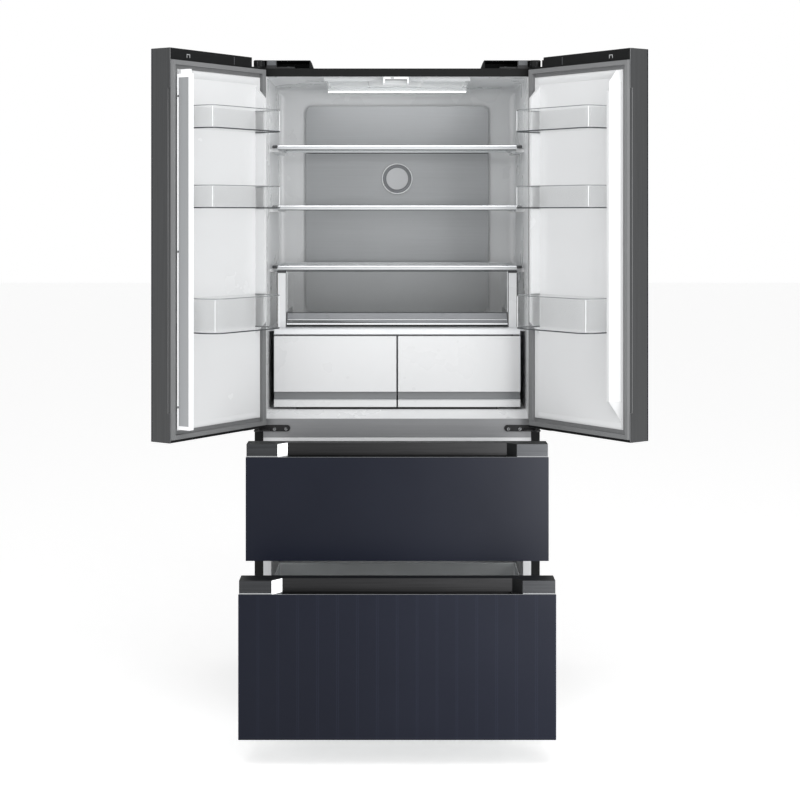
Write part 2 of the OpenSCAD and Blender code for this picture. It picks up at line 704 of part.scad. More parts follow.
// Open clear box whose two front corners are rounded
module door_bin(z, h, reach, r) {
    difference() {
        translate([0, 0, z]) linear_extrude(h) bin_plan(0, reach, r);
        translate([0, 0, z + bin_wall]) linear_extrude(h) bin_plan(bin_wall, reach, r);
    }
}
module bin_plan(inset_by, reach, r) {
    u0 = bin_u[0] + inset_by;
    u1 = bin_u[1] - inset_by;
    y0 = 3 + inset_by;
    y1 = reach - inset_by;
    rr = r - inset_by;
    translate([u0, y0]) square([u1 - u0, y1 - y0 - rr]);
    translate([u0 + rr, y0]) square([u1 - u0 - 2*rr, y1 - y0]);
    for (u = [u0 + rr, u1 - rr]) translate([u, y1 - rr]) circle(rr);
}
module door_bins() {
    door_bin(top_bin_z, bin_h, bin_reach, 22);
    door_bin(mid_bin_z, bin_h, bin_reach, 22);
    door_bin(deep_z, deep_h, deep_reach, 45);
}

module left_door_glass() color("#2b303b") left_hung() door_glass();
module left_door_frame() color("#6d6f72") left_hung() {
    rimmed_door();
    flap_lugs();
}
module left_door_caps() color("#161718") left_hung() door_caps();
module left_door_liner() color("#f3f4f5") left_hung() door_liner();
module left_door_gasket() color("#6f7072") left_hung() door_gasket();
module left_door_bins() color("#dfe8ea", 0.4) left_hung() door_bins();
module right_door_glass() color("#2b303b") right_hung() door_glass();
module right_door_frame() color("#6d6f72") right_hung() rimmed_door();
module right_door_caps() color("#161718") right_hung() door_caps();
module right_door_liner() color("#f3f4f5") right_hung() door_liner();
module right_door_gasket() color("#6f7072") right_hung() door_gasket();
module right_door_bins() color("#dfe8ea", 0.4) right_hung() door_bins();

// ---- sealing flap between the doors, folded back in the stored pose ----

module folded() left_hung() translate([flap_u, -flap_v, 0]) rotate([0, 0, 90]) children();

// p runs along the flap from its hinge, q towards the doors
module leaf(p, q, z) span([p[0], -q[1], z[0]], [p[1], -q[0], z[1]]);

module mullion_body() color("#f4f5f6") folded() difference() {
    union() {
        leaf([0, flap_w], [flap_edge - flap_t, flap_edge], [flap_lo, flap_hi]);
        leaf([-flap_edge, over], [flap_edge - flap_t, 0], [flap_lo, flap_hi]);
        translate([0, 0, flap_lo]) cylinder(h = flap_hi - flap_lo, r = flap_edge);
        leaf(cam_p, cam_q, [flap_hi - over, flap_hi + cam_h]);
    }
    leaf([5, flap_w - 3], [flap_edge - 1, flap_edge + over], [flap_lo + 10, flap_hi - 10]);
    for (z = flap_lug_z) {
        leaf([-4, 6], [-flap_t, 4], [z - flap_lug_t/2 - 1, z + flap_lug_t/2 + 1]);
        translate([0, 0, z - 15]) cylinder(h = 30, r = flap_pin_r + bore_gap);
    }
}
module mullion_plate() color("#8f9194") folded()
    leaf([5 + seam, flap_w - 3 - seam], [flap_edge - 1, flap_edge - 0.1], [flap_lo + 10 + seam, flap_hi - 10 - seam]);

// ---- freezer drawers ----

module pulled(by) translate([0, -by, 0]) children();

module front_glass(z0, z1) inset([-half_w, half_w], [-door_gap - door_t, -door_gap - glass_v], [z0, z1 - band_h]);

// Dark rim of a drawer front whose top band holds the finger recess
module front_handle(z0, z1) {
    grip_x = half_w - 87;
    d0 = -door_gap - glass_v;
    band_z = z1 - band_h;
    difference() {
        union() {
            inset([-half_w + 2, half_w - 2], [d0 - 2, -36], [band_z, z1]);
            inset([-half_w + 2, half_w - 2], [-36 - over, -door_gap], [z1 - 5, z1]);
            inset([-half_w + 2, -half_w + 4], [d0, -door_gap], [z0, z1]);
            inset([half_w - 4, half_w - 2], [d0, -door_gap], [z0, z1]);
            inset([-half_w + 2, half_w - 2], [d0, -door_gap], [z0, z0 + 2]);
            difference() {
                inset([-half_w + 2, half_w - 2], [-door_gap - face_t, -door_gap], [z0, z1]);
                inset([-half_w + 32, half_w - 32], [-door_gap - 3, 0], [z0 + 22, z1 - plug_drop]);
            }
        }
        translate([0, front_y + d0 - 2, band_z - 8]) linear_extrude(band_h + 9) polygon([[-grip_x, -over],
            [grip_x, -over], [grip_x - 26, grip_d], [-grip_x + 26, grip_d]]);
    }
    // Floor of the recess, lower than the glass edge so that fingers hook behind it
    difference() {
        inset([-grip_x - 2, grip_x + 2], [d0, -36], [band_z - 12, band_z]);
        inset([-grip_x + 26, grip_x - 26], [d0 + 3, -38], [band_z - 10, band_z + over]);
    }
}

// White foam-filled panel behind the glass
module front_panel(z0, z1) {
    grip_x = half_w - 87;
    d0 = -door_gap - glass_v + seam;
    x = half_w - 4 - seam;
    difference() {
        inset([-x, x], [d0, -door_gap - face_t - seam], [z0 + 2 + seam, z1 - 5 - seam]);
        inset([-half_w, half_w], [d0 - over, -36 + seam], [z1 - band_h - seam, z1]);
        inset([-grip_x - 2 - seam, grip_x + 2 + seam], [d0 - over, -36 + seam], [z1 - band_h - 12 - seam, z1]);
    }
    inset([-half_w + 32 + seam, half_w - 32 - seam], [-door_gap - face_t - over, -door_gap + 0.1],
        [z0 + 22 + seam, z1 - plug_drop - seam]);
}

module front_gasket(z0, z1) difference() {
    inset([-half_w + 14, half_w - 14], [-door_gap, -door_gap + seal_h], [z0 + 8, z1 - 32]);
    inset([-half_w + 28, half_w - 28], [-door_gap - over, 0], [z0 + 19, z1 - 43]);
}

module basket(z0, z1, depth) difference() {
    inset([-basket_x, basket_x], [-door_gap + 0.1, depth], [z0, z1]);
    inset([-basket_x + basket_wall, basket_x - basket_wall], [-door_gap + 6, depth - basket_wall],
        [z0 + basket_wall, z1 + over]);
}

module slide_bars(z, depth) pair()
    inset([basket_x, freezer_x - slide_step[0] + 2], [2, depth], [z - slide_h[2], z + slide_h[2]]);

// Middle member: a channel open towards the drawer
module mid_bars(z, depth) pair() difference() {
    inset([freezer_x - slide_step[1], freezer_x - 2.5], [4, depth], [z - slide_h[1], z + slide_h[1]]);
    inset([freezer_x - slide_step[1] - over, freezer_x - 6], [3, depth + over],
        [z - slide_h[1] + 3, z + slide_h[1] - 3]);
}

// Fixed channels on the freezer walls
module fixed_channel(z, depth) pair() difference() {
    inset([freezer_x - slide_step[0], freezer_x], [4, depth], [z - slide_h[0], z + slide_h[0]]);
    inset([freezer_x - slide_step[0] - over, freezer_x - 1.5], [3, depth + over],
        [z - slide_h[0] + 1.5, z + slide_h[0] - 1.5]);
}
module drawer_channels() color("#b7babd") {
    fixed_channel(up_slide_z, up_slide_d);
    fixed_channel(low_slide_z, low_slide_d);
}

module upper_drawer_glass() color("#2b303b") pulled(upper_pull) front_glass(up_bottom, up_top);
module upper_drawer_handle() color("#2e2f31") pulled(upper_pull) front_handle(up_bottom, up_top);
module upper_drawer_panel() color("#eceeef") pulled(upper_pull) front_panel(up_bottom, up_top);
module upper_drawer_gasket() color("#6f7072") pulled(upper_pull) front_gasket(up_bottom, up_top);
module upper_drawer_basket() color("#aeb6bb", 0.5) pulled(upper_pull)
    basket(up_bottom + 35, up_cave_hi - 14, up_slide_d + 4);
module upper_drawer_slides() color("#b7babd") pulled(upper_pull) slide_bars(up_slide_z, up_slide_d);
module upper_mid_slides() color("#9a9da0") pulled(upper_pull/2) mid_bars(up_slide_z, up_slide_d);

module lower_drawer_glass() color("#2b303b") pulled(lower_pull) front_glass(low_bottom, low_top);
module lower_drawer_handle() color("#2e2f31") pulled(lower_pull) front_handle(low_bottom, low_top);
module lower_drawer_panel() color("#eceeef") pulled(lower_pull) front_panel(low_bottom, low_top);
module lower_drawer_gasket() color("#6f7072") pulled(lower_pull) front_gasket(low_bottom, low_top);
module lower_drawer_basket() color("#aeb6bb", 0.5) pulled(lower_pull)
    basket(low_cave_lo + 12, low_cave_hi - 25, low_slide_d + 4);
module lower_drawer_slides() color("#b7babd") pulled(lower_pull) slide_bars(low_slide_z, low_slide_d);
module lower_mid_slides() color("#9a9da0") pulled(lower_pull/2) mid_bars(low_slide_z, low_slide_d);

// ---- crispers and the full-width drawer ----

module crisper() difference() {
    x0 = 2.25;
    z1 = crisper_z + crisper_h;
    inset([x0, crisper_x], [crisper_front, tub_back], [crisper_z, z1]);
    inset([x0 + tub_wall, crisper_x - tub_wall], [crisper_front + 20, tub_back - tub_wall],
        [crisper_z + tub_wall, z1 + over]);
    inset([x0 - over, crisper_x + over], [crisper_front - over, crisper_front + 16],
        [crisper_z + crisper_grip[0], crisper_z + crisper_grip[1]]);
}
module right_crisper() color("#eef0f1") crisper();
module left_crisper() color("#eef0f1") mirror([1, 0, 0]) crisper();

module deli_drawer() color("#dfe8ea", 0.4) {
    d0 = shelf_front - 6;
    difference() {
        inset([-deli_x, deli_x], [d0, tub_back], [deli_z, deli_z + deli_h]);
        inset([-deli_x + tub_wall, deli_x - tub_wall], [d0 + tub_wall, tub_back - tub_wall],
            [deli_z + tub_wall, deli_z + deli_h + over]);
    }
    inset([-deli_x + 4, deli_x - 4], [d0 - 3, d0 + over], [deli_z + 22, deli_z + 41]);
}

outer_shell();
back_cover();
insulation();
fridge_liner();
freezer_liner();
front_rails();
cooling_panel();
air_filter();
ceiling_lamp();
mullion_guide();
shelf_glass();
shelf_frames();
deli_frame();
crisper_cover();
hinge_covers();
door_hinges();
hinge_screws();
base_frame();
kick_plate();
machine_cover();
compressor();
condenser();
evaporator();
drawer_channels();
condenser_fan();
evaporator_fan();
rear_rollers();
left_foot();
right_foot();
left_door_glass();
left_door_frame();
left_door_caps();
left_door_liner();
left_door_gasket();
left_door_bins();
right_door_glass();
right_door_frame();
right_door_caps();
right_door_liner();
right_door_gasket();
right_door_bins();
mullion_body();
mullion_plate();
upper_drawer_glass();
upper_drawer_handle();
upper_drawer_panel();
upper_drawer_gasket();
upper_drawer_basket();
upper_drawer_slides();
upper_mid_slides();
lower_drawer_glass();
lower_drawer_handle();
lower_drawer_panel();
lower_drawer_gasket();
lower_drawer_basket();
lower_drawer_slides();
lower_mid_slides();
left_crisper();
right_crisper();
deli_drawer();
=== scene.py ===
import json
import math

import bmesh
import bpy
from mathutils import Matrix, Vector


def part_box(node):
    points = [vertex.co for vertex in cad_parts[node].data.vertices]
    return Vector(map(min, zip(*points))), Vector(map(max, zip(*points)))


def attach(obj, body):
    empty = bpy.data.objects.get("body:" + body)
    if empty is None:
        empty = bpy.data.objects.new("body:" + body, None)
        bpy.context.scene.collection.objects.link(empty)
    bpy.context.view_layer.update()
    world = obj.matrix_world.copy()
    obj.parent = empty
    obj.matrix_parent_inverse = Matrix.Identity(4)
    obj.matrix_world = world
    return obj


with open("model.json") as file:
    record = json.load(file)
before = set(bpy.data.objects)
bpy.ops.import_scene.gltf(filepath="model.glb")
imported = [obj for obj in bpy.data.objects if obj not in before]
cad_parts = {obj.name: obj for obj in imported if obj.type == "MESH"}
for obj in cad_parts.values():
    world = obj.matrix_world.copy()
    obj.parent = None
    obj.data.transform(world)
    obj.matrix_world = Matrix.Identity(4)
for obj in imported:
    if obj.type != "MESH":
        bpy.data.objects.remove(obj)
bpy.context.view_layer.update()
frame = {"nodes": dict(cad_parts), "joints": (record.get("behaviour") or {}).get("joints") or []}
NODES = frame["nodes"]
JOINTS = {j["name"]: j for j in frame["joints"]}

# ---------------------------------------------------------------- places, in metres
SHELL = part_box("outer_shell")
HALF_W = SHELL[1].x
FRONT = SHELL[0].y
F = FRONT * 1000.0
DOOR_GAP = 0.010
CENTRE_GAP = 0.003
LEFT_OPEN = math.radians(-JOINTS["left_door_hinge"]["range_deg"][0])
RIGHT_OPEN = math.radians(-JOINTS["right_door_hinge"]["range_deg"][0])
PIVOT = Vector(JOINTS["right_door_hinge"]["pos_m"])
HINGE_IN = HALF_W - PIVOT.x
HINGE_OUT = FRONT - DOOR_GAP - PIVOT.y
DOOR_W = HALF_W - CENTRE_GAP / 2
DOOR_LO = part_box("left_door_glass")[0].z
DOOR_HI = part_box("left_door_glass")[1].z


def mm(*v):
    return tuple(a / 1000.0 for a in v)


def door_matrix(side):
    """Closed door coordinates (u from the hinge edge, w inwards, z) to the stored pose."""
    turn = LEFT_OPEN if side == "left" else RIGHT_OPEN
    m = Matrix.Translation((-PIVOT.x, PIVOT.y, 0)) @ Matrix.Rotation(-turn, 4, "Z")
    m = m @ Matrix.Translation((-HINGE_IN, HINGE_OUT, 0))
    if side == "right":
        m = Matrix.Scale(-1, 4, (1, 0, 0)) @ m
    return m


# ---------------------------------------------------------------- materials
def nodes_of(name):
    mat = bpy.data.materials.new(name)
    mat.use_nodes = True
    tree = mat.node_tree
    return mat, tree, tree.nodes["Principled BSDF"]


def socket(bsdf, name, value):
    if name in bsdf.inputs:
        bsdf.inputs[name].default_value = value


def coords(tree, scale):
    tc = tree.nodes.new("ShaderNodeTexCoord")
    mp = tree.nodes.new("ShaderNodeMapping")
    mp.vector_type = "POINT"
    mp.inputs["Scale"].default_value = scale
    tree.links.new(tc.outputs["Object"], mp.inputs["Vector"])
    return mp


def noise(tree, mp, scale, detail=3.0, rough=0.5):
    n = tree.nodes.new("ShaderNodeTexNoise")
    n.inputs["Scale"].default_value = scale
    n.inputs["Detail"].default_value = detail
    n.inputs["Roughness"].default_value = rough
    tree.links.new(mp.outputs["Vector"], n.inputs["Vector"])
    return n


def remap(tree, src, a, b, lo, hi):
    m = tree.nodes.new("ShaderNodeMapRange")
    m.inputs["From Min"].default_value = a
    m.inputs["From Max"].default_value = b
    m.inputs["To Min"].default_value = lo
    m.inputs["To Max"].default_value = hi
    tree.links.new(src, m.inputs["Value"])
    return m.outputs["Result"]


def tint(tree, bsdf, src, dark, light):
    mix = tree.nodes.new("ShaderNodeMix")
    mix.data_type = "RGBA"
    mix.inputs["A"].default_value = (*dark, 1)
    mix.inputs["B"].default_value = (*light, 1)
    tree.links.new(src, mix.inputs["Factor"])
    tree.links.new(mix.outputs["Result"], bsdf.inputs["Base Color"])
    return mix


def bump(tree, bsdf, src, strength, distance=0.0004):
    b = tree.nodes.new("ShaderNodeBump")
    b.inputs["Strength"].default_value = strength
    b.inputs["Distance"].default_value = distance
    tree.links.new(src, b.inputs["Height"])
    tree.links.new(b.outputs["Normal"], bsdf.inputs["Normal"])
    return b


def srgb(h):
    def lin(c):
        c /= 255.0
        return c / 12.92 if c <= 0.04045 else ((c + 0.055) / 1.055) ** 2.4

    return tuple(lin(int(h[i:i + 2], 16)) for i in (1, 3, 5))


def scaled(c, k):
    return tuple(min(1.0, a * k) for a in c)


def plastic(name, color, rough=0.35, grain=900.0, depth=0.10, vary=0.03, spec=0.5):
    """Moulded plastic or paint: fine grain, uneven gloss and a slight drift of colour."""
    mat, tree, bsdf = nodes_of(name)
    c = srgb(color)
    mp = coords(tree, (1, 1, 1))
    cloud = noise(tree, mp, 6.0, 4.0)
    fine = noise(tree, mp, grain, 2.0)
    f = remap(tree, cloud.outputs["Fac"], 0.3, 0.7, 0, 1)
    tint(tree, bsdf, f, scaled(c, 1 - vary), scaled(c, 1 + vary))
    r = remap(tree, cloud.outputs["Fac"], 0.3, 0.7, rough * 0.94, rough * 1.06)
    tree.links.new(r, bsdf.inputs["Roughness"])
    bump(tree, bsdf, fine.outputs["Fac"], depth)
    socket(bsdf, "Specular IOR Level", spec)
    return mat


def brushed(name, color, stretch=(3, 500, 500), rough=0.32, metal=0.9, vary=0.12, depth=0.12):
    """Brushed metal: long thin scratches that change colour, gloss and height."""
    mat, tree, bsdf = nodes_of(name)
    c = srgb(color)
    mp = coords(tree, stretch)
    lines = noise(tree, mp, 1.0, 5.0, 0.65)
    broad = noise(tree, coords(tree, (2, 2, 2)), 2.0, 2.0)
    f = remap(tree, lines.outputs["Fac"], 0.25, 0.75, 0, 1)
    tint(tree, bsdf, f, scaled(c, 1 - vary), scaled(c, 1 + vary))
    mixr = tree.nodes.new("ShaderNodeMath")
    mixr.operation = "MULTIPLY_ADD"
    tree.links.new(lines.outputs["Fac"], mixr.inputs[0])
    mixr.inputs[1].default_value = rough * 0.5
    tree.links.new(remap(tree, broad.outputs["Fac"], 0.3, 0.7, rough * 0.7, rough * 0.85), mixr.inputs[2])
    tree.links.new(mixr.outputs["Value"], bsdf.inputs["Roughness"])
    bump(tree, bsdf, lines.outputs["Fac"], depth, 0.0002)
    socket(bsdf, "Metallic", metal)
    return mat


def clear(name, color, alpha, rough=0.06, cloud=0.03):
    """Clear moulding or pane: thin, tinted, with faint haze."""
    mat, tree, bsdf = nodes_of(name)
    c = srgb(color)
    mp = coords(tree, (1, 1, 1))
    haze = noise(tree, mp, 9.0, 3.0)
    f = remap(tree, haze.outputs["Fac"], 0.3, 0.7, 0, 1)
    tint(tree, bsdf, f, scaled(c, 1 - cloud), scaled(c, 1 + cloud))
    r = remap(tree, haze.outputs["Fac"], 0.3, 0.7, rough * 0.8, rough * 1.3)
    tree.links.new(r, bsdf.inputs["Roughness"])
    bump(tree, bsdf, haze.outputs["Fac"], 0.03)
    socket(bsdf, "Alpha", alpha)
    return mat


LINE_HALF_PITCH = 0.02605


def front_glass(name, lines=False):
    """Dark blue coating behind clear glass, with fine upright lines on the lower front."""
    mat, tree, bsdf = nodes_of(name)
    mp = coords(tree, (1, 1, 1))
    cloud = noise(tree, mp, 3.0, 3.0)
    f = remap(tree, cloud.outputs["Fac"], 0.3, 0.7, 0, 1)
    base = srgb("#0a0d17")
    mix = tint(tree, bsdf, f, scaled(base, 0.92), scaled(base, 1.08))
    if lines:
        sep = tree.nodes.new("ShaderNodeSeparateXYZ")
        tree.links.new(mp.outputs["Vector"], sep.inputs["Vector"])
        ping = tree.nodes.new("ShaderNodeMath")
        ping.operation = "PINGPONG"
        tree.links.new(sep.outputs["X"], ping.inputs[0])
        ping.inputs[1].default_value = LINE_HALF_PITCH
        dark = remap(tree, ping.outputs["Value"], 0.0, 0.0014, 0.22, 0.0)
        lit = remap(tree, ping.outputs["Value"], 0.0019, 0.0034, 1.0, 0.0)
        gate = remap(tree, ping.outputs["Value"], 0.0016, 0.0019, 0.0, 0.22)
        mul = tree.nodes.new("ShaderNodeMath")
        mul.operation = "MULTIPLY"
        tree.links.new(lit, mul.inputs[0])
        tree.links.new(gate, mul.inputs[1])
        for src, col in ((dark, "#0a0c14"), (mul.outputs["Value"], "#2b3040")):
            nxt = tree.nodes.new("ShaderNodeMix")
            nxt.data_type = "RGBA"
            tree.links.new(src, nxt.inputs["Factor"])
            tree.links.new(mix.outputs["Result"], nxt.inputs["A"])
            nxt.inputs["B"].default_value = (*srgb(col), 1)
            mix = nxt
        tree.links.new(mix.outputs["Result"], bsdf.inputs["Base Color"])
    tree.links.new(remap(tree, cloud.outputs["Fac"], 0.3, 0.7, 0.36, 0.42), bsdf.inputs["Roughness"])
    socket(bsdf, "Specular IOR Level", 0.14)
    return mat


def glowing(name, color, strength):
    mat, tree, bsdf = nodes_of(name)
    c = srgb(color)
    mp = coords(tree, (1, 1, 1))
    cloud = noise(tree, mp, 14.0, 3.0)
    f = remap(tree, cloud.outputs["Fac"], 0.3, 0.7, 0, 1)
    tint(tree, bsdf, f, scaled(c, 0.96), c)
    tree.links.new(remap(tree, cloud.outputs["Fac"], 0.3, 0.7, 0.3, 0.4), bsdf.inputs["Roughness"])
    socket(bsdf, "Emission Color", (*c, 1))
    socket(bsdf, "Emission Strength", strength)
    return mat


M = {
    "shell": plastic("shell_paint", "#2e2f31", 0.34, 700, 0.12, 0.05),
    "zinc": plastic("zinc_sheet", "#a3a5a7", 0.42, 250, 0.10, 0.02, 0.5),
    "foam": plastic("foam", "#e3d9b0", 0.9, 160, 0.6, 0.06, 0.1),
    "liner": plastic("liner_white", "#dadbdc", 0.28, 500, 0.015, 0.004),
    "rail": brushed("rail_grey", "#959698", (3, 420, 420), 0.42, 0.55, 0.06, 0.08),
    "panel": brushed("panel_brushed", "#aaacae", (3, 300, 300), 0.34, 0.75, 0.05, 0.08),
    "filter": plastic("filter_grey", "#c2c3c5", 0.3),
    "filter_dark": plastic("filter_ring_dark", "#77797c", 0.4),
    "lens": plastic("lamp_lens", "#d3d5d6", 0.25),
    "led": glowing("lamp_bar", "#ffffff", 2.2),
    "guide": plastic("guide_white", "#eceeef", 0.35),
    "pane": clear("shelf_pane", "#ccd8d8", 0.12),
    "trim": brushed("shelf_trim_grey", "#cfd1d3", (3, 380, 380), 0.36, 0.55, 0.05, 0.06),
    "bright": brushed("bright_line", "#e6e8ea", (3, 380, 380), 0.22, 0.6, 0.04, 0.04),
    # Dark trim for caps, seams and tabs, also used as painted shade under the shelves and in the mullion
    # guide
    "dark_trim_and_shade": plastic("dark_trim_and_painted_shade", "#3a3b3d", 0.4),
    "black": plastic("black_plastic", "#0f1011", 0.46, 800, 0.2, 0.08, 0.2),
    "hinge": plastic("hinge_black", "#1b1b1d", 0.38, 600, 0.15, 0.1, 0.5),
    "screw": brushed("screw_steel", "#d4d6d8", (60, 60, 60), 0.25, 0.95),
    "chassis": plastic("chassis_paint", "#46484a", 0.5, 300, 0.2, 0.08),
    "compressor": plastic("compressor_black", "#101113", 0.28, 200, 0.12, 0.1),
    "coil": brushed("coil_metal", "#8d9093", (3, 200, 200), 0.4, 0.9),
    "fan": plastic("fan_plastic", "#2c2e31", 0.45),
    "roller": plastic("roller_plastic", "#232427", 0.5, 400, 0.25, 0.08),
    "glass": front_glass("front_glass_plain"),
    "glass_lined": front_glass("front_glass_lined", True),
    "rim": brushed("door_rim_grey", "#7f8081", (300, 300, 3), 0.42, 0.35, 0.08, 0.06),
    "edge": brushed("door_edge_painted_shade", "#464748", (300, 300, 3), 0.42, 0.5, 0.16, 0.10),
    "door_liner": plastic("door_liner_white", "#d6d7d8", 0.26, 500, 0.015, 0.004),
    "seal": plastic("seal_grey", "#747576", 0.6, 500, 0.2, 0.04, 0.3),
    "bin": clear("bin_clear", "#cacdce", 0.06),
    "bin_edge": plastic("bin_edge_grey", "#7f8283", 0.2, 900, 0.05),
    "bin_base": plastic("bin_base_dark", "#3c3f41", 0.3, 900, 0.05),
    # Light lines on the clear bins and the clear drawer: painted glint
    "bin_glint": plastic("bin_corner_painted_glint", "#f2f4f5", 0.15, 900, 0.02),
    "flap": plastic("flap_white", "#f0f1f2", 0.3, 500, 0.04, 0.01),
    "flap_face": brushed("flap_face_grey", "#a6a8aa", (400, 400, 3), 0.36, 0.6, 0.05, 0.06),
    "handle": brushed("handle_dark", "#1e1e1f", (4, 500, 500), 0.36, 0.7, 0.45, 0.2),
    "handle_end": brushed("handle_end_grey", "#2f3032", (4, 420, 420), 0.36, 0.75, 0.3, 0.2),
    "handle_trim": brushed("handle_trim", "#c4c6c8", (4, 300, 300), 0.2, 0.95),
    "drawer_panel": plastic("drawer_panel_white", "#e9ebec", 0.3, 500, 0.04, 0.015),
    "basket": clear("basket_translucent", "#c4c7c8", 0.62, 0.35),
    "slide": brushed("slide_zinc", "#a4a7a9", (200, 4, 200), 0.34, 0.9),
    "crisper": plastic("crisper_white", "#d4d5d6", 0.28, 500, 0.015, 0.004),
    "crisper_grip": brushed("crisper_grip_grey", "#8b8d8f", (3, 350, 350), 0.4, 0.35, 0.05, 0.05),
    "cover": plastic("cover_white", "#dfe1e3", 0.3),
    "deli": clear("deli_clear", "#cfd2d3", 0.05),
    "deli_band": clear("deli_band_grey", "#85878a", 0.85, 0.3),
    # Near-black for gaps, recesses and the shade under things: painted shade
    "painted_gap_shade": plastic("painted_gap_shade", "#121315", 0.6),
    "post": plastic("post_black", "#0d0e0e", 0.4, 700, 0.1, 0.05, 0.2),
    "rim_dark": plastic("door_rim_side_painted_shade", "#4a4b4d", 0.4, 900, 0.1, 0.04),
    # Light plastic on the handles' slanted walls that face +X: a painted reflection
    "handle_wall_painted_reflection": plastic("recess_wall_painted_reflection", "#e4e5e6", 0.3),
    "plate": plastic("cover_plate_grey", "#55575a", 0.4),
    # Lighter plastic for two patches on the lamp lens: painted light
    "lit": plastic("lamp_lens_painted_light", "#e2e4e5", 0.3),
    "edge_light": brushed("edge_light", "#8b8d90", (3, 300, 300), 0.3, 0.8),
}

PAINT = {
    "outer_shell": "shell", "back_cover": "zinc", "insulation": "foam", "fridge_liner": "liner",
    "freezer_liner": "liner", "front_rails": "rail", "cooling_panel": "panel", "air_filter": "filter",
    "ceiling_lamp": "lens", "mullion_guide": "guide", "shelf_glass": "pane", "shelf_frames": "trim",
    "deli_frame": "liner", "crisper_cover": "cover", "hinge_covers": "black", "door_hinges": "hinge",
    "hinge_screws": "screw", "base_frame": "chassis", "kick_plate": "black", "machine_cover": "zinc",
    "compressor": "compressor", "condenser": "coil", "evaporator": "coil", "drawer_channels": "slide",
    "condenser_fan": "fan", "evaporator_fan": "fan", "rear_rollers": "roller", "left_foot": "roller",
    "right_foot": "roller", "mullion_body": "flap", "mullion_plate": "flap_face",
    "upper_mid_slides": "slide", "lower_mid_slides": "slide", "left_crisper": "crisper",
    "right_crisper": "crisper", "deli_drawer": "deli",
}
for side in ("left", "right"):
    PAINT.update({side + "_door_glass": "glass", side + "_door_frame": "rim", side + "_door_caps": "black",
                  side + "_door_liner": "door_liner", side + "_door_gasket": "seal",
                  side + "_door_bins": "bin"})
for which in ("upper", "lower"):
    PAINT.update({which + "_drawer_glass": "glass", which + "_drawer_handle": "handle",
                  which + "_drawer_panel": "drawer_panel", which + "_drawer_gasket": "seal",
                  which + "_drawer_basket": "basket", which + "_drawer_slides": "slide"})
PAINT["lower_drawer_glass"] = "glass_lined"

ROUNDED = {
    "hinge_covers": 2.0, "left_door_caps": 1.5, "right_door_caps": 1.5, "left_door_frame": 0.6,
    "right_door_frame": 0.6, "left_door_glass": 0.8, "right_door_glass": 0.8, "upper_drawer_glass": 0.8,
    "lower_drawer_glass": 0.8, "left_door_liner": 2.5, "right_door_liner": 2.5, "left_crisper": 1.0,
    "right_crisper": 1.0, "mullion_guide": 1.5, "mullion_body": 0.8, "shelf_frames": 0.8,
    "upper_drawer_handle": 0.6, "lower_drawer_handle": 0.6, "crisper_cover": 0.8, "kick_plate": 0.8,
    "door_hinges": 0.5, "deli_frame": 0.8, "left_door_bins": 0.6, "right_door_bins": 0.6,
    "deli_drawer": 0.6, "upper_drawer_basket": 1.0, "lower_drawer_basket": 1.0, "outer_shell": 0.4,
    "upper_drawer_panel": 1.0, "lower_drawer_panel": 1.0, "cooling_panel": 1.5,
}


def round_edges(obj, width):
    weld = obj.modifiers.new("weld", "WELD")
    weld.merge_threshold = 0.00001
    bev = obj.modifiers.new("bevel", "BEVEL")
    bev.width = width / 1000.0
    bev.segments = 2
    bev.limit_method = "ANGLE"
    bev.angle_limit = math.radians(35)
    bev.use_clamp_overlap = True
    bev.harden_normals = False


for name, obj in NODES.items():
    obj.data.materials.clear()
    obj.data.materials.append(M[PAINT[name]])
    if name in ROUNDED:
        round_edges(obj, ROUNDED[name])


# ---------------------------------------------------------------- mesh helpers
def finish_piece(name, bm, body, mat, matrix=None):
    if matrix is not None:
        bm.transform(matrix)
    bmesh.ops.recalc_face_normals(bm, faces=bm.faces)
    mesh = bpy.data.meshes.new(name)
    bm.to_mesh(mesh)
    bm.free()
    obj = bpy.data.objects.new(name, mesh)
    bpy.context.scene.collection.objects.link(obj)
    mesh.materials.append(M[mat])
    for poly in mesh.polygons:
        poly.use_smooth = True
    mesh.set_sharp_from_angle(angle=math.radians(38))
    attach(obj, body)
    return obj


def bevel_all(bm, width):
    if width > 0:
        edges = [e for e in bm.edges if len(e.link_faces) == 2 and e.calc_face_angle(0) > 0.5]
        bmesh.ops.bevel(bm, geom=edges, offset=width, segments=2, affect="EDGES",
                        clamp_overlap=True)


def merge(bm, tmp):
    """Adds a mesh that was made apart."""
    mesh = bpy.data.meshes.new("tmp")
    tmp.to_mesh(mesh)
    tmp.free()
    bm.from_mesh(mesh)
    bpy.data.meshes.remove(mesh)


def add_box(bm, lo, hi, bevel=0.0):
    tmp = bmesh.new()
    bmesh.ops.create_cube(tmp, size=1.0)
    size = Vector(hi) - Vector(lo)
    tmp.transform(Matrix.Translation((Vector(lo) + Vector(hi)) / 2) @ Matrix.Diagonal((*size, 1)))
    bevel_all(tmp, bevel)
    merge(bm, tmp)


def add_prism(bm, outline, lo, hi, axis, bevel=0.0):
    """Extrudes a 2-D outline along an axis; the outline's two numbers are the other two axes in order."""
    tmp = bmesh.new()

    def place(p, t):
        if axis == "x":
            return (t, p[0], p[1])
        if axis == "y":
            return (p[0], t, p[1])
        return (p[0], p[1], t)

    a = [tmp.verts.new(place(p, lo)) for p in outline]
    b = [tmp.verts.new(place(p, hi)) for p in outline]
    tmp.faces.new(a)
    tmp.faces.new(list(reversed(b)))
    n = len(outline)
    for i in range(n):
        tmp.faces.new((a[i], b[i], b[(i + 1) % n], a[(i + 1) % n]))
    bmesh.ops.recalc_face_normals(tmp, faces=tmp.faces)
    bevel_all(tmp, bevel)
    merge(bm, tmp)


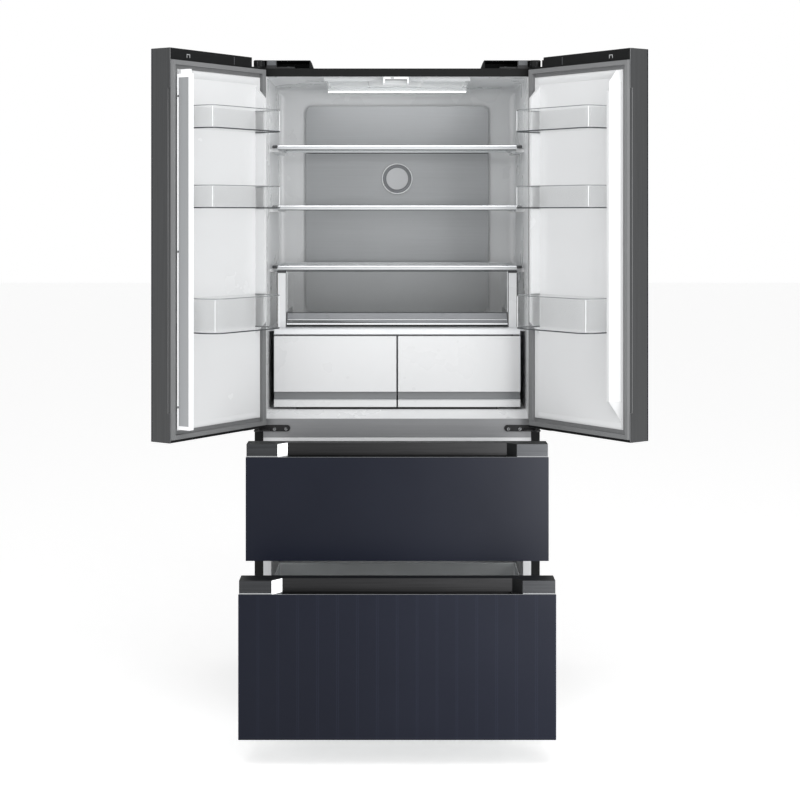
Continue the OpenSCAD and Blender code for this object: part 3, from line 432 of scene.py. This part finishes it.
def add_taper(bm, start, end):
    """Joins two four-cornered outlines."""
    tmp = bmesh.new()
    a = [tmp.verts.new(p) for p in start]
    b = [tmp.verts.new(p) for p in end]
    tmp.faces.new(a)
    tmp.faces.new(b[::-1])
    for k in range(4):
        tmp.faces.new((a[k], a[(k + 1) % 4], b[(k + 1) % 4], b[k]))
    merge(bm, tmp)


def add_lathe(bm, profile, origin, axis, steps=48):
    """Turns a profile of (radius, height) pairs about an axis."""
    z = Vector(axis).normalized()
    x = z.orthogonal().normalized()
    y = z.cross(x)
    rings = []
    for r, h in profile:
        if r < 1e-6:
            rings.append([bm.verts.new(Vector(origin) + z * h)])
            continue
        rings.append([bm.verts.new(Vector(origin) + z * h + (x * math.cos(t) + y * math.sin(t)) * r)
                      for t in (2 * math.pi * k / steps for k in range(steps))])
    for a, b in zip(rings, rings[1:]):
        for k in range(steps):
            n = (k + 1) % steps
            if len(a) == 1:
                bm.faces.new((a[0], b[k], b[n]))
            elif len(b) == 1:
                bm.faces.new((a[k], b[0], a[n]))
            else:
                bm.faces.new((a[k], b[k], b[n], a[n]))


def add_sweep(bm, path, section):
    """Runs a closed 2-D section (side, up) along a path that stays level."""
    rings = []
    n = len(path)
    up = Vector((0, 0, 1))
    for i, p in enumerate(path):
        p = Vector(p)
        a, b = Vector(path[max(i - 1, 0)]), Vector(path[min(i + 1, n - 1)])
        t = (b - a).normalized()
        side = t.cross(up).normalized()
        u, v = (p - a), (b - p)
        stretch = 1.0
        if u.length > 1e-9 and v.length > 1e-9:
            c = max(0.3, math.cos(u.angle(v) / 2))
            stretch = 1.0 / c
        rings.append([bm.verts.new(p + side * s * stretch + up * h) for s, h in section])
    m = len(section)
    for a, b in zip(rings, rings[1:]):
        for k in range(m):
            j = (k + 1) % m
            bm.faces.new((a[k], b[k], b[j], a[j]))
    bm.faces.new(rings[0])
    bm.faces.new(list(reversed(rings[-1])))


def arc(cx, cy, r, a0, a1, steps):
    return [(cx + r * math.cos(math.radians(a0 + (a1 - a0) * k / steps)),
             cy + r * math.sin(math.radians(a0 + (a1 - a0) * k / steps))) for k in range(steps + 1)]


def boxes(name, spans, body, mat, bevel=0.4, matrix=None):
    """One piece made of boxes given in millimetres, as (low, high) corners."""
    bm = bmesh.new()
    for lo, hi in spans:
        add_box(bm, mm(*lo), mm(*hi), bevel / 1000.0)
    return finish_piece(name, bm, body, mat, matrix)


def span(x, d, z):
    """A box in millimetres: across, behind the cabinet's front plane, up."""
    return ((x[0], F + d[0], z[0]), (x[1], F + d[1], z[1]))


def mirrored(spans):
    """The same boxes on both sides of the cabinet."""
    out = list(spans)
    for lo, hi in spans:
        out.append(((-hi[0], lo[1], lo[2]), (-lo[0], hi[1], hi[2])))
    return out


# ---------------------------------------------------------------- camera, lights, floor
CAMERA_BACK = 4.8749    # from the cabinet's front plane
CAMERA_HEIGHT = 1.449
FLOOR_HALF = 30
FLOOR_DROP = 0.0005
LIT_WORLD, SEEN_WORLD = 0.55, 1.0

bpy.context.scene.view_settings.view_transform = "Standard"
cam_data = bpy.data.cameras.new("camera")
cam = bpy.data.objects.new("camera", cam_data)
bpy.context.scene.collection.objects.link(cam)
cam_data.sensor_width = 36.0
cam_data.lens = 75.1
cam_data.shift_x = 0.0035
cam_data.shift_y = -0.2326
cam_data.clip_end = 100.0
cam.location = (0.0, FRONT - CAMERA_BACK, CAMERA_HEIGHT)
cam.rotation_euler = (math.radians(90), 0, 0)
bpy.context.scene.camera = cam

bm = bmesh.new()
bmesh.ops.create_grid(bm, x_segments=1, y_segments=1, size=FLOOR_HALF)
floor_mesh = bpy.data.meshes.new("floor")
bm.to_mesh(floor_mesh)
bm.free()
floor = bpy.data.objects.new("floor", floor_mesh)
bpy.context.scene.collection.objects.link(floor)
floor.location = (0, 0, -FLOOR_DROP)
floor_mat = glowing("floor_pale", "#f4f4f4", 0.5)
floor_mesh.materials.append(floor_mat)

world = bpy.data.worlds.new("studio")
bpy.context.scene.world = world
world.use_nodes = True
wt = world.node_tree
bg = wt.nodes["Background"]
bg.inputs["Color"].default_value = (1, 1, 1, 1)
path = wt.nodes.new("ShaderNodeLightPath")
strength = wt.nodes.new("ShaderNodeMapRange")
strength.inputs["To Min"].default_value = LIT_WORLD
strength.inputs["To Max"].default_value = SEEN_WORLD
wt.links.new(path.outputs["Is Camera Ray"], strength.inputs["Value"])
wt.links.new(strength.outputs["Result"], bg.inputs["Strength"])


def area(name, loc, target, size, power):
    data = bpy.data.lights.new(name, "AREA")
    data.shape = "RECTANGLE"
    data.size, data.size_y = size
    data.energy = power
    obj = bpy.data.objects.new(name, data)
    bpy.context.scene.collection.objects.link(obj)
    obj.location = loc
    obj.rotation_euler = (Vector(target) - Vector(loc)).to_track_quat("-Z", "Y").to_euler()
    obj.visible_camera = False
    return obj


area("key_right", (2.2, -3.6, 1.5), (0.2, -0.3, 0.9), (1.6, 2.6), 62)
area("fill_left", (-2.4, -3.4, 1.5), (0.3, -0.3, 1.2), (1.4, 2.2), 22)
area("top_soft", (0, -2.4, 3.6), (0, -0.4, 1.0), (3.0, 2.0), 52)
area("inside_top", (0, FRONT + 0.10, 1.836), (0, FRONT + 0.30, 1.0), (0.55, 0.06), 0.55)
# One light for the drawer fronts alone: it gives their fade from dark at the left to light at the right
glow = area("front_glow", (1.15, FRONT - 1.9, 0.70), (0.2, FRONT - 0.4, 0.60), (0.8, 0.8), 70)
fronts = bpy.data.collections.new("glass_fronts")
for which in ("upper", "lower"):
    fronts.objects.link(NODES[which + "_drawer_glass"])
    fronts.objects.link(NODES[which + "_drawer_handle"])
glow.light_linking.receiver_collection = fronts


# ---------------------------------------------------------------- parts of CAD nodes in a second finish
def repaint(node, mat, test, matrix=None):
    """Gives the faces that pass the test another material slot; test gets centre and normal in mm."""
    obj = NODES[node]
    obj.data.materials.append(M[mat])
    index = len(obj.data.materials) - 1
    inv = matrix.inverted() if matrix is not None else Matrix.Identity(4)
    rot = inv.to_3x3()
    for poly in obj.data.polygons:
        c = (inv @ poly.center) * 1000.0
        n = rot @ poly.normal
        if test(c, n):
            poly.material_index = index


WU = DOOR_W * 1000.0
DL, DH = DOOR_LO * 1000.0, DOOR_HI * 1000.0
repaint("outer_shell", "post", lambda c, n: n.y < -0.9 and c.y < F + 1.0)
for side in ("left", "right"):
    dm = door_matrix(side)
    # Darker greys on the free edge and on the hinge-side faces of the door frame: painted shade on its sides
    repaint(side + "_door_frame", "edge", lambda c, n: n.x > 0.9 and c.x > WU - 12, dm)
    repaint(side + "_door_frame", "rim_dark", lambda c, n: n.x < -0.9 and c.x < 1, dm)
for which in ("upper", "lower"):
    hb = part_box(which + "_drawer_handle")
    y0, z1 = hb[0].y * 1000.0, hb[1].z * 1000.0
    node = which + "_drawer_handle"
    repaint(node, "black", lambda c, n: n.z > 0.9 or (c.z < z1 - 60 and n.y < -0.5))
    repaint(node, "handle_end", lambda c, n: n.y < -0.9 and c.y < y0 + 0.5 and c.z > z1 - 36)
    # The slanted handle wall facing +X is painted light as a painted reflection; the one facing -X is painted
    # black as painted shade
    repaint(node, "handle_wall_painted_reflection", lambda c, n: n.x > 0.3 and n.y < -0.3)
    repaint(node, "black", lambda c, n: n.x < -0.3 and n.y < -0.3)
for side in ("left", "right"):
    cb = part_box(side + "_crisper")
    repaint(side + "_crisper", "crisper_grip",
            lambda c, n: n.y < -0.9 and cb[0].y * 1000 + 2 < c.y < cb[0].y * 1000 + 18)
    repaint(side + "_crisper", "crisper_grip",
            lambda c, n: abs(n.z) > 0.9 and c.y < cb[0].y * 1000 + 17 and
            cb[0].z * 1000 + 12 < c.z < cb[0].z * 1000 + 60)
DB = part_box("deli_drawer")
repaint("deli_drawer", "deli_band", lambda c, n: c.y < DB[0].y * 1000 + 3.05 and c.z < DB[0].z * 1000 + 60
        and c.z > DB[0].z * 1000 + 10 and abs(n.x) < 0.5)

# ---------------------------------------------------------------- cabinet details
SHELF_FRAME_H = 13.0
SHELF_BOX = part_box("shelf_frames")
SHELF_LOW = SHELF_BOX[0].z * 1000.0
SHELF_STEP = (SHELF_BOX[1].z * 1000.0 - SHELF_FRAME_H - SHELF_LOW) / 2.0
SHELF_Z = tuple(SHELF_LOW + k * SHELF_STEP for k in range(3))

bm_nose, bm_lip, bm_cap, bm_under = (bmesh.new() for _ in range(4))
for z in SHELF_Z:
    nose = [(118, z + 0.2), (114.2, z + 1.0), (112.8, z + 3.6), (112.8, z + 8.0), (118, z + 8.0)]
    lip = [(118, z + 8.3), (113.4, z + 8.4), (112.2, z + 10.2), (113.0, z + 12.4), (115.5, z + 13.4),
           (124, z + 13.4), (124, z + 12.9), (118, z + 12.9)]
    add_prism(bm_nose, [mm(F + a, b) for a, b in nose], -0.358, 0.358, "x", 0.0004)
    add_prism(bm_lip, [mm(F + a, b) for a, b in lip], -0.357, 0.357, "x", 0.0004)
    # Dark strip under each shelf front: painted shadow
    add_box(bm_under, mm(-356, F + 114.5, z - 1.2), mm(356, F + 131, z + 0.1), 0.0004)
    for sx in (-1, 1):
        out = [(sx * 356, 113.0), (sx * 368, 114.5), (sx * 374, 121), (sx * 374, 140), (sx * 356, 140)]
        out = [mm(a, F + b) for a, b in (out if sx > 0 else out[::-1])]
        add_prism(bm_cap, out, (z + 4.5) / 1000, (z + 13.2) / 1000, "z", 0.0012)
finish_piece("shelf_nose", bm_nose, "cabinet", "trim")
finish_piece("shelf_bright_lip", bm_lip, "cabinet", "bright")
finish_piece("shelf_underside_painted_shadow", bm_under, "cabinet", "dark_trim_and_shade")
finish_piece("shelf_end_caps", bm_cap, "cabinet", "dark_trim_and_shade")

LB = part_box("fridge_liner")
FX = LB[1].x * 1000.0 - 2.0
BACK = (LB[1].y - FRONT) * 1000.0 - 2.0
CEIL = LB[1].z * 1000.0 - 2.0
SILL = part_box("left_crisper")[0].z * 1000.0 - 7.0
bm = bmesh.new()


def cove(r, quarter=10):
    """Outline of the fillet in a corner at (0, 0) that opens towards (-r, -r)."""
    return [(0, 0)] + [(-r + r * math.cos(a), -r + r * math.sin(a))
                       for a in (math.pi / 2 * (1 - k / quarter) for k in range(quarter + 1))]


for sx in (-1, 1):
    pts = [(sx * (FX + a), F + BACK + b) for a, b in cove(30)]
    add_prism(bm, [mm(*q) for q in pts], SILL / 1000, CEIL / 1000, "z")
    pts = [(sx * (FX + a), CEIL + b) for a, b in cove(16)]
    add_prism(bm, [mm(*q) for q in pts], (F + 2) / 1000, (F + BACK) / 1000, "y")
pts = [(F + BACK + a, CEIL + b) for a, b in cove(30)]
add_prism(bm, [mm(*q) for q in pts], -FX / 1000, FX / 1000, "x")
finish_piece("liner_coves", bm, "cabinet", "liner")

GUIDE_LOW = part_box("mullion_guide")[0].z * 1000
# Downward faces inside the guide's pocket are painted dark: painted shade
repaint("mullion_guide", "dark_trim_and_shade", lambda c, n: n.z < -0.9 and c.z > GUIDE_LOW + 3)

boxes("guide_face", [span((-39, 32), (1.0, 3.4), (CEIL - 7.4, CEIL + 0.4))],
      "cabinet", "flap", 1.1)
# Small dark mark on the guide's face: painted shade of its slot
boxes("guide_slot_painted_shade", [span((-20, -8), (0.7, 1.4), (CEIL - 5.4, CEIL - 2.2))],
      "cabinet", "dark_trim_and_shade", 0.3)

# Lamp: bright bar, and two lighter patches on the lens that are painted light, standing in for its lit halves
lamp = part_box("ceiling_lamp")
lx, lz = lamp[1].x * 1000.0, lamp[0].z * 1000
boxes("lamp_bar_glow", [span((-lx + 2, lx - 2), (328.6, 330.4), (lz + 0.4, lz + 4.2))],
      "cabinet", "led", 0.5)
boxes("lamp_lens_painted_light_patches", [span((-lx + 10, -lx + 128), (76, 318), (CEIL - 9.2, CEIL - 7.6)),
                          span((lx - 140, lx - 14), (76, 318), (CEIL - 9.2, CEIL - 7.6))],
      "cabinet", "lit", 0.6)

# Grey screw plates on the two upper hinge covers
cover_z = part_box("hinge_covers")[1].z * 1000
boxes("hinge_cover_plates", mirrored([span((353, 381), (-1.0, 26), (cover_z - 16, cover_z - 0.3))]),
      "cabinet", "plate", 1.2)

# Rounded front ends of the covers, over the door pins
bm = bmesh.new()
for sx in (-1, 1):
    nose = [(386, 4), (386, -33), (389, -39), (395, -42), (409, -42), (414, -39), (416.3, -34), (416.3, 4)]
    nose = [mm(sx * a, F + b) for a, b in (nose if sx > 0 else nose[::-1])]
    add_prism(bm, nose, (cover_z - 23.2) / 1000, (cover_z - 3.5) / 1000, "z", 0.0015)
finish_piece("hinge_cover_noses", bm, "cabinet", "black")

# Dark bars at the rear edges of the shelves, in front of the panel
SB = (SHELF_BOX[1].y - FRONT) * 1000.0
boxes("shelf_rear_dark_bars", [span((-291, 291), (SB - 5, SB - 0.5), (z + 0.5, z + 9.5)) for z in SHELF_Z],
      "cabinet", "dark_trim_and_shade", 0.6)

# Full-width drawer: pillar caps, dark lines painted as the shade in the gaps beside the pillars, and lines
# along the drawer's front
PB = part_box("deli_frame")
px1, pz0, pz1 = PB[1].x * 1000.0, PB[0].z * 1000.0, PB[1].z * 1000.0
boxes("pillar_caps", mirrored([span((px1 - 25.5, px1 + 1.5), (109.5, 124.5), (pz1 - 8, pz1 - 0.2))]),
      "cabinet", "dark_trim_and_shade", 1.2)
boxes("pillar_gap_painted_shade", mirrored([span((px1 + 0.6, px1 + 2.8), (113, 123), (pz0 + 1, pz1 - 9)),
                               span((px1 - 25.8, px1 - 24.2), (113.5, 120), (pz0 + 1, pz1 - 9))]),
      "cabinet", "painted_gap_shade", 0.3)
dx, dz0, dz1 = DB[1].x * 1000.0, DB[0].z * 1000.0, DB[1].z * 1000.0
boxes("deli_rims", [span((-dx + 1, dx - 1), (111.4, 114.6), (dz1 - 2.2, dz1 - 0.2)),
                    span((-dx + 3.6, dx - 3.6), (108.5, 112.4), (dz0 + 41.2, dz0 + 43.0))],
      "deli_drawer", "bin_base", 0.4)
# Light lines across the clear drawer front: painted highlights
boxes("deli_painted_highlight_lines", [span((-dx + 1, dx - 1), (110.4, 112.4), (dz0 + 6.4, dz0 + 10.4)),
                   span((-dx + 3.6, dx - 3.6), (108.3, 112.0), (dz0 + 20.4, dz0 + 21.8))],
      "deli_drawer", "bin_glint", 0.4)
# Dark strip along the drawer's bottom front: painted shadow of the gap above the crisper cover
boxes("deli_painted_shadow_strip", [span((-dx + 1, dx - 1), (110.0, 112.4), (dz0 + 0.3, dz0 + 5.6))],
      "deli_drawer", "painted_gap_shade", 0.4)
# Light lines at the drawer's front corners: painted highlights
boxes("deli_corner_lights", mirrored([span((dx - 2.2, dx - 0.6), (111.5, 113.2), (dz0 + 44, dz1 - 3))]),
      "deli_drawer", "bin_glint", 0.4)
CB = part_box("crisper_cover")
boxes("cover_lines", [span((-FX + 22, FX - 22), (63.4, 64.6), (CB[0].z * 1000 + 0.6, CB[0].z * 1000 + 2.0)),
                      span((-FX + 22, FX - 22), (63.2, 64.8), (CB[1].z * 1000 - 2.2, CB[1].z * 1000 - 0.4))],
      "cabinet", "trim", 0.4)

# Crispers: thin grey outline of the fronts, small clear runners under them
for side in ("left", "right"):
    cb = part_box(side + "_crisper")
    x0, x1, z0, z1 = cb[0].x * 1000, cb[1].x * 1000, cb[0].z * 1000, cb[1].z * 1000
    boxes(side + "_crisper_outline", [
        span((x0 + 0.5, x1 - 0.5), (59.6, 61.2), (z1 - 1.6, z1 - 0.4)),
        span((x0 + 0.3, x0 + 1.5), (59.6, 61.2), (z0 + 46, z1 - 1)),
        span((x1 - 1.5, x1 - 0.3), (59.6, 61.2), (z0 + 46, z1 - 1))],
        side + "_crisper", "trim", 0.3)
    boxes(side + "_crisper_lip", [span((x0 + 1, x1 - 1), (58.4, 61), (z0 + 20.4, z0 + 22.2))],
          side + "_crisper", "bright", 0.5)
boxes("crisper_runners", mirrored([span((300, 345), (61, 84), (SILL + 0.2, SILL + 6.6))]),
      "cabinet", "bin", 0.8)
boxes("crisper_floor_shadow_strip", [span((-298, 298), (66, 70), (SILL + 0.1, SILL + 6.8))],
      "cabinet", "painted_gap_shade", 0.5)

# Plinth: dark shade behind its slots
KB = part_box("kick_plate")
boxes("plinth_shade", [span((KB[0].x * 1000 + 8, KB[1].x * 1000 - 8), (-2.8, -1.4),
                            (KB[0].z * 1000 + 4, KB[1].z * 1000 - 1))],
      "cabinet", "painted_gap_shade", 0.3)

# Back: folded edge beads, seam over the machine cover, screws
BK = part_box("back_cover")
by, bz0, bz1, bx = BK[1].y * 1000, BK[0].z * 1000, BK[1].z * 1000, BK[1].x * 1000
boxes("back_seams", [((-bx + 1, by - 0.9, bz0 - 0.6), (bx - 1, by - 0.02, bz0 + 1.2)),
                     ((-bx + 9, by - 0.9, bz0 + 14), (-bx + 10.2, by - 0.015, bz1 - 12)),
                     ((bx - 10.2, by - 0.9, bz0 + 14), (bx - 9, by - 0.015, bz1 - 12)),
                     ((-bx + 9, by - 0.9, bz1 - 13.2), (bx - 9, by - 0.015, bz1 - 12))],
      "cabinet", "dark_trim_and_shade", 0.0)
PAN_HEAD = [(0.0, 0.0), (0.0018, 0.0), (0.0022, -0.0008), (0.0046, -0.0008), (0.0050, -0.0004),
            (0.0050, 0.0006)]
bm = bmesh.new()
screws = [(sx * (bx - 22), z) for sx in (-1, 1)
          for z in (bz0 + 40, (bz0 * 2 + bz1) / 3, (bz0 + bz1 * 2) / 3, bz1 - 40)]
for x, z in screws + [(x, bz0 - 16) for x in (-300, -100, 100, 300)]:
    add_lathe(bm, PAN_HEAD, (x / 1000, (by - 0.85) / 1000, z / 1000), (0, 1, 0), 24)
finish_piece("back_screws", bm, "cabinet", "screw")

# Filter rings on the back panel
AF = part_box("air_filter")
fc = (AF[0] + AF[1]) / 2
bm = bmesh.new()
o = (fc.x, AF[1].y, fc.z)
add_lathe(bm, [(0.0475, 0.0), (0.0492, 0.002), (0.0492, 0.0085), (0.0485, 0.0102), (0.0468, 0.0102),
               (0.0458, 0.0085), (0.0458, 0.005)], o, (0, -1, 0), 96)
finish_piece("filter_bright_ring", bm, "cabinet", "flap")
bm = bmesh.new()
add_lathe(bm, [(0.0456, 0.0052), (0.0452, 0.0062), (0.036, 0.0072), (0.0352, 0.0062)], o, (0, -1, 0), 96)
finish_piece("filter_dark_ring", bm, "cabinet", "filter_dark")

# Screw heads on the lower brackets: dark crosses painted as the shade in their cross recesses
bm = bmesh.new()
for sx in (-1, 1):
    for xx in (324.5, 358.0):
        c = Vector((sx * xx / 1000, FRONT - 0.0056, (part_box("door_hinges")[0].z * 1000 + 3.5 + 3.5) / 1000))
        add_box(bm, c + Vector((-0.0022, -0.0002, -0.0005)), c + Vector((0.0022, 0.0001, 0.0005)), 0.0001)
        add_box(bm, c + Vector((-0.0005, -0.0002, -0.0022)), c + Vector((0.0005, 0.0001, 0.0022)), 0.0001)
finish_piece("bracket_screw_recess_painted_shade", bm, "cabinet", "painted_gap_shade")

# ---------------------------------------------------------------- doors
# Floor height, height, reach and corner radius of each bin, and where a bin starts and ends along the door
BINS = ((1681, 63, 103, 22), (1464.7, 63, 103, 22), (1125, 95, 113, 45))
BIN_U = (52.2, 358.8)
for side in ("left", "right"):
    dm = door_matrix(side)
    body = side + "_door"
    lz0, lz1 = DL + 33, DH - 57
    crest = 12.0
    free = 379.0 if side == "left" else 386.0

    # Vacuum-formed rim of the white inner panel: bars with sloped inner faces at top and bottom
    bm = bmesh.new()
    top_bar = [(1.9, lz1), (-5, lz1), (-8, lz1 - 3), (-8, lz1 - 7), (-4, lz1 - 18), (1.9, lz1 - 28)]
    low_bar = [(1.9, lz0), (-3.6, lz0), (-4.4, lz0 + 3), (-4.4, lz0 + 8), (1.9, lz0 + 30)]
    u_end = 366.5
    add_prism(bm, [mm(-v, z) for v, z in top_bar], 0.045, u_end / 1000, "x", 0.0016)
    add_prism(bm, [mm(-v, z) for v, z in low_bar], 0.045, free / 1000, "x", 0.0012)
    # Outer slope of the free-side rib, with its lower end drawn to a point
    zt, zb = lz1 - 1.0, DL + 72.0
    rib = [(366.0, 0.5), (free, 0.5), (free - 1.5, 4.0), (367.2, 34.4)]
    add_prism(bm, [mm(u, w) for u, w in [rib[3]] + rib[:3]], (zb + 36) / 1000, (zt - 34) / 1000, "z",
              0.0012)
    add_taper(bm, [mm(u, w, zb + 36.4) for u, w in rib],
              [mm(u, min(w, 4.0), zb - (0 if u < 370 else 20)) for u, w in rib])
    # Upper end of the same rib runs up to the top bar
    add_taper(bm, [mm(u, w, zt - 34.4) for u, w in rib], [mm(u, min(w, crest - 5.0), zt) for u, w in rib])
    finish_piece(side + "_door_liner_rim", bm, body, "door_liner", dm)

    # Clear bins: grey top line, dark base line, and light corner lines that are painted highlights
    for k, (z, h, reach, r) in enumerate(BINS):
        u0, u1 = BIN_U
        path = [(u0, 4.0), (u0, reach - r)]
        path += arc(u0 + r, reach - r, r, 180, 90, 8)[1:]
        path += arc(u1 - r, reach - r, r, 90, 0, 8)
        path += [(u1, 4.0)]
        rim = [Vector(mm(u, w, 0)) for u, w in path]
        bm = bmesh.new()
        zt = (z + h) / 1000
        sec = [(-0.0003, 0.0), (-0.0003, -0.0022), (0.0026, -0.0022), (0.0026, 0.0)]
        add_sweep(bm, [q + Vector((0, 0, zt + 0.0003)) for q in rim], sec)
        finish_piece(f"{side}_bin_{k}_top_line", bm, body, "bin_edge", dm)
        bm = bmesh.new()
        sec = [(-0.0005, 0.0), (-0.0005, 0.0034), (0.0022, 0.0034), (0.0022, 0.0)]
        add_sweep(bm, [q + Vector((0, 0, z / 1000 - 0.0004)) for q in rim], sec)
        finish_piece(f"{side}_bin_{k}_base_line", bm, body, "bin_base", dm)
        bm = bmesh.new()
        for cu, sgn in ((u0 + r, -1), (u1 - r, 1)):
            a = math.radians(45)
            c = (cu + sgn * (r + 0.1) * math.cos(a), reach - r + (r + 0.1) * math.sin(a))
            add_lathe(bm, [(0.0, 0.0), (0.0009, 0.0005), (0.0009, (h - 7) / 1000), (0.0, (h - 6.5) / 1000)],
                      mm(c[0] - sgn * 0.6, c[1] - 0.6, z + 3.2), (0, 0, 1), 12)
        finish_piece(f"{side}_bin_{k}_corner_lines", bm, body, "bin_glint", dm)

    # Cap details: seam and clip on the top cap, tab under the bottom cap
    cz = DH - 31
    boxes(side + "_cap_marks", [((143, -0.8, cz + 4), (145.2, 0.3, DH - 4))],
          body, "plate", 0.3, dm)
    boxes(side + "_cap_clip", [((333, -1.2, cz + 8), (335.4, 0.3, cz + 17)),
                               ((333, -1.2, cz + 16), (347, 0.3, cz + 18.4)),
                               ((344.6, -1.2, cz + 8), (347, 0.3, cz + 17))],
          body, "trim", 0.3, dm)
    boxes(side + "_foot_tab", [((366, -46, DL - 3.0), (392, -22, DL + 0.3))],
          body, "dark_trim_and_shade", 1.0, dm)
    # Thin bright strips where the inner border meets the free edge, near the top and the bottom: painted
    # highlight
    boxes(side + "_edge_painted_highlight", [((WU - 1.6, -0.2, DH - 108), (WU - 0.3, 0.5, DH - 32)),
                                ((WU - 1.6, -0.2, DL + 9), (WU - 0.3, 0.5, DL + 80))],
          body, "edge_light", 0.3, dm)

# ---------------------------------------------------------------- folding flap
FB = door_matrix("left") @ Matrix.Translation(mm(WU - 18, 12.5, 0))
FB = FB @ Matrix.Rotation(math.radians(90), 4, "Z")
ML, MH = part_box("mullion_plate")[0].z * 1000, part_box("mullion_plate")[1].z * 1000
boxes("flap_end_lips", [((1, -3.0, MH + 0.6), (42.4, 14.6, MH + 4.6)),
                        ((1, -3.0, ML - 4.6), (42.4, 14.6, ML - 0.6))],
      "mullion", "flap", 1.0, FB)

# ---------------------------------------------------------------- freezer drawers
for which in ("upper", "lower"):
    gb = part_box(which + "_drawer_glass")
    y0, zt = gb[0].y * 1000, gb[1].z * 1000
    hw = HALF_W * 1000
    body = which + "_drawer"
    boxes(which + "_glass_top_line", [((-hw + 0.8, y0 + 0.5, zt - 0.4), (hw - 0.8, y0 + 3.6, zt + 0.7))],
          body, "edge_light", 0.3)
    boxes(which + "_band_lines", [((-hw + 2.5, y0 + 1.2, zt + 1.6), (-hw + 87, y0 + 2.4, zt + 3.2)),
                                  ((hw - 87, y0 + 1.2, zt + 1.6), (hw - 2.5, y0 + 2.4, zt + 3.2))],
          body, "handle_trim", 0.3)
    boxes(which + "_grip_outline", [((hw - 114.6, y0 + 33.0, zt - 6), (hw - 113.2, y0 + 34.4, zt + 35.4)),
                                    ((-hw + 113.2, y0 + 33.0, zt - 6), (-hw + 114.6, y0 + 34.4, zt + 35.4))],
          body, "edge_light", 0.3)
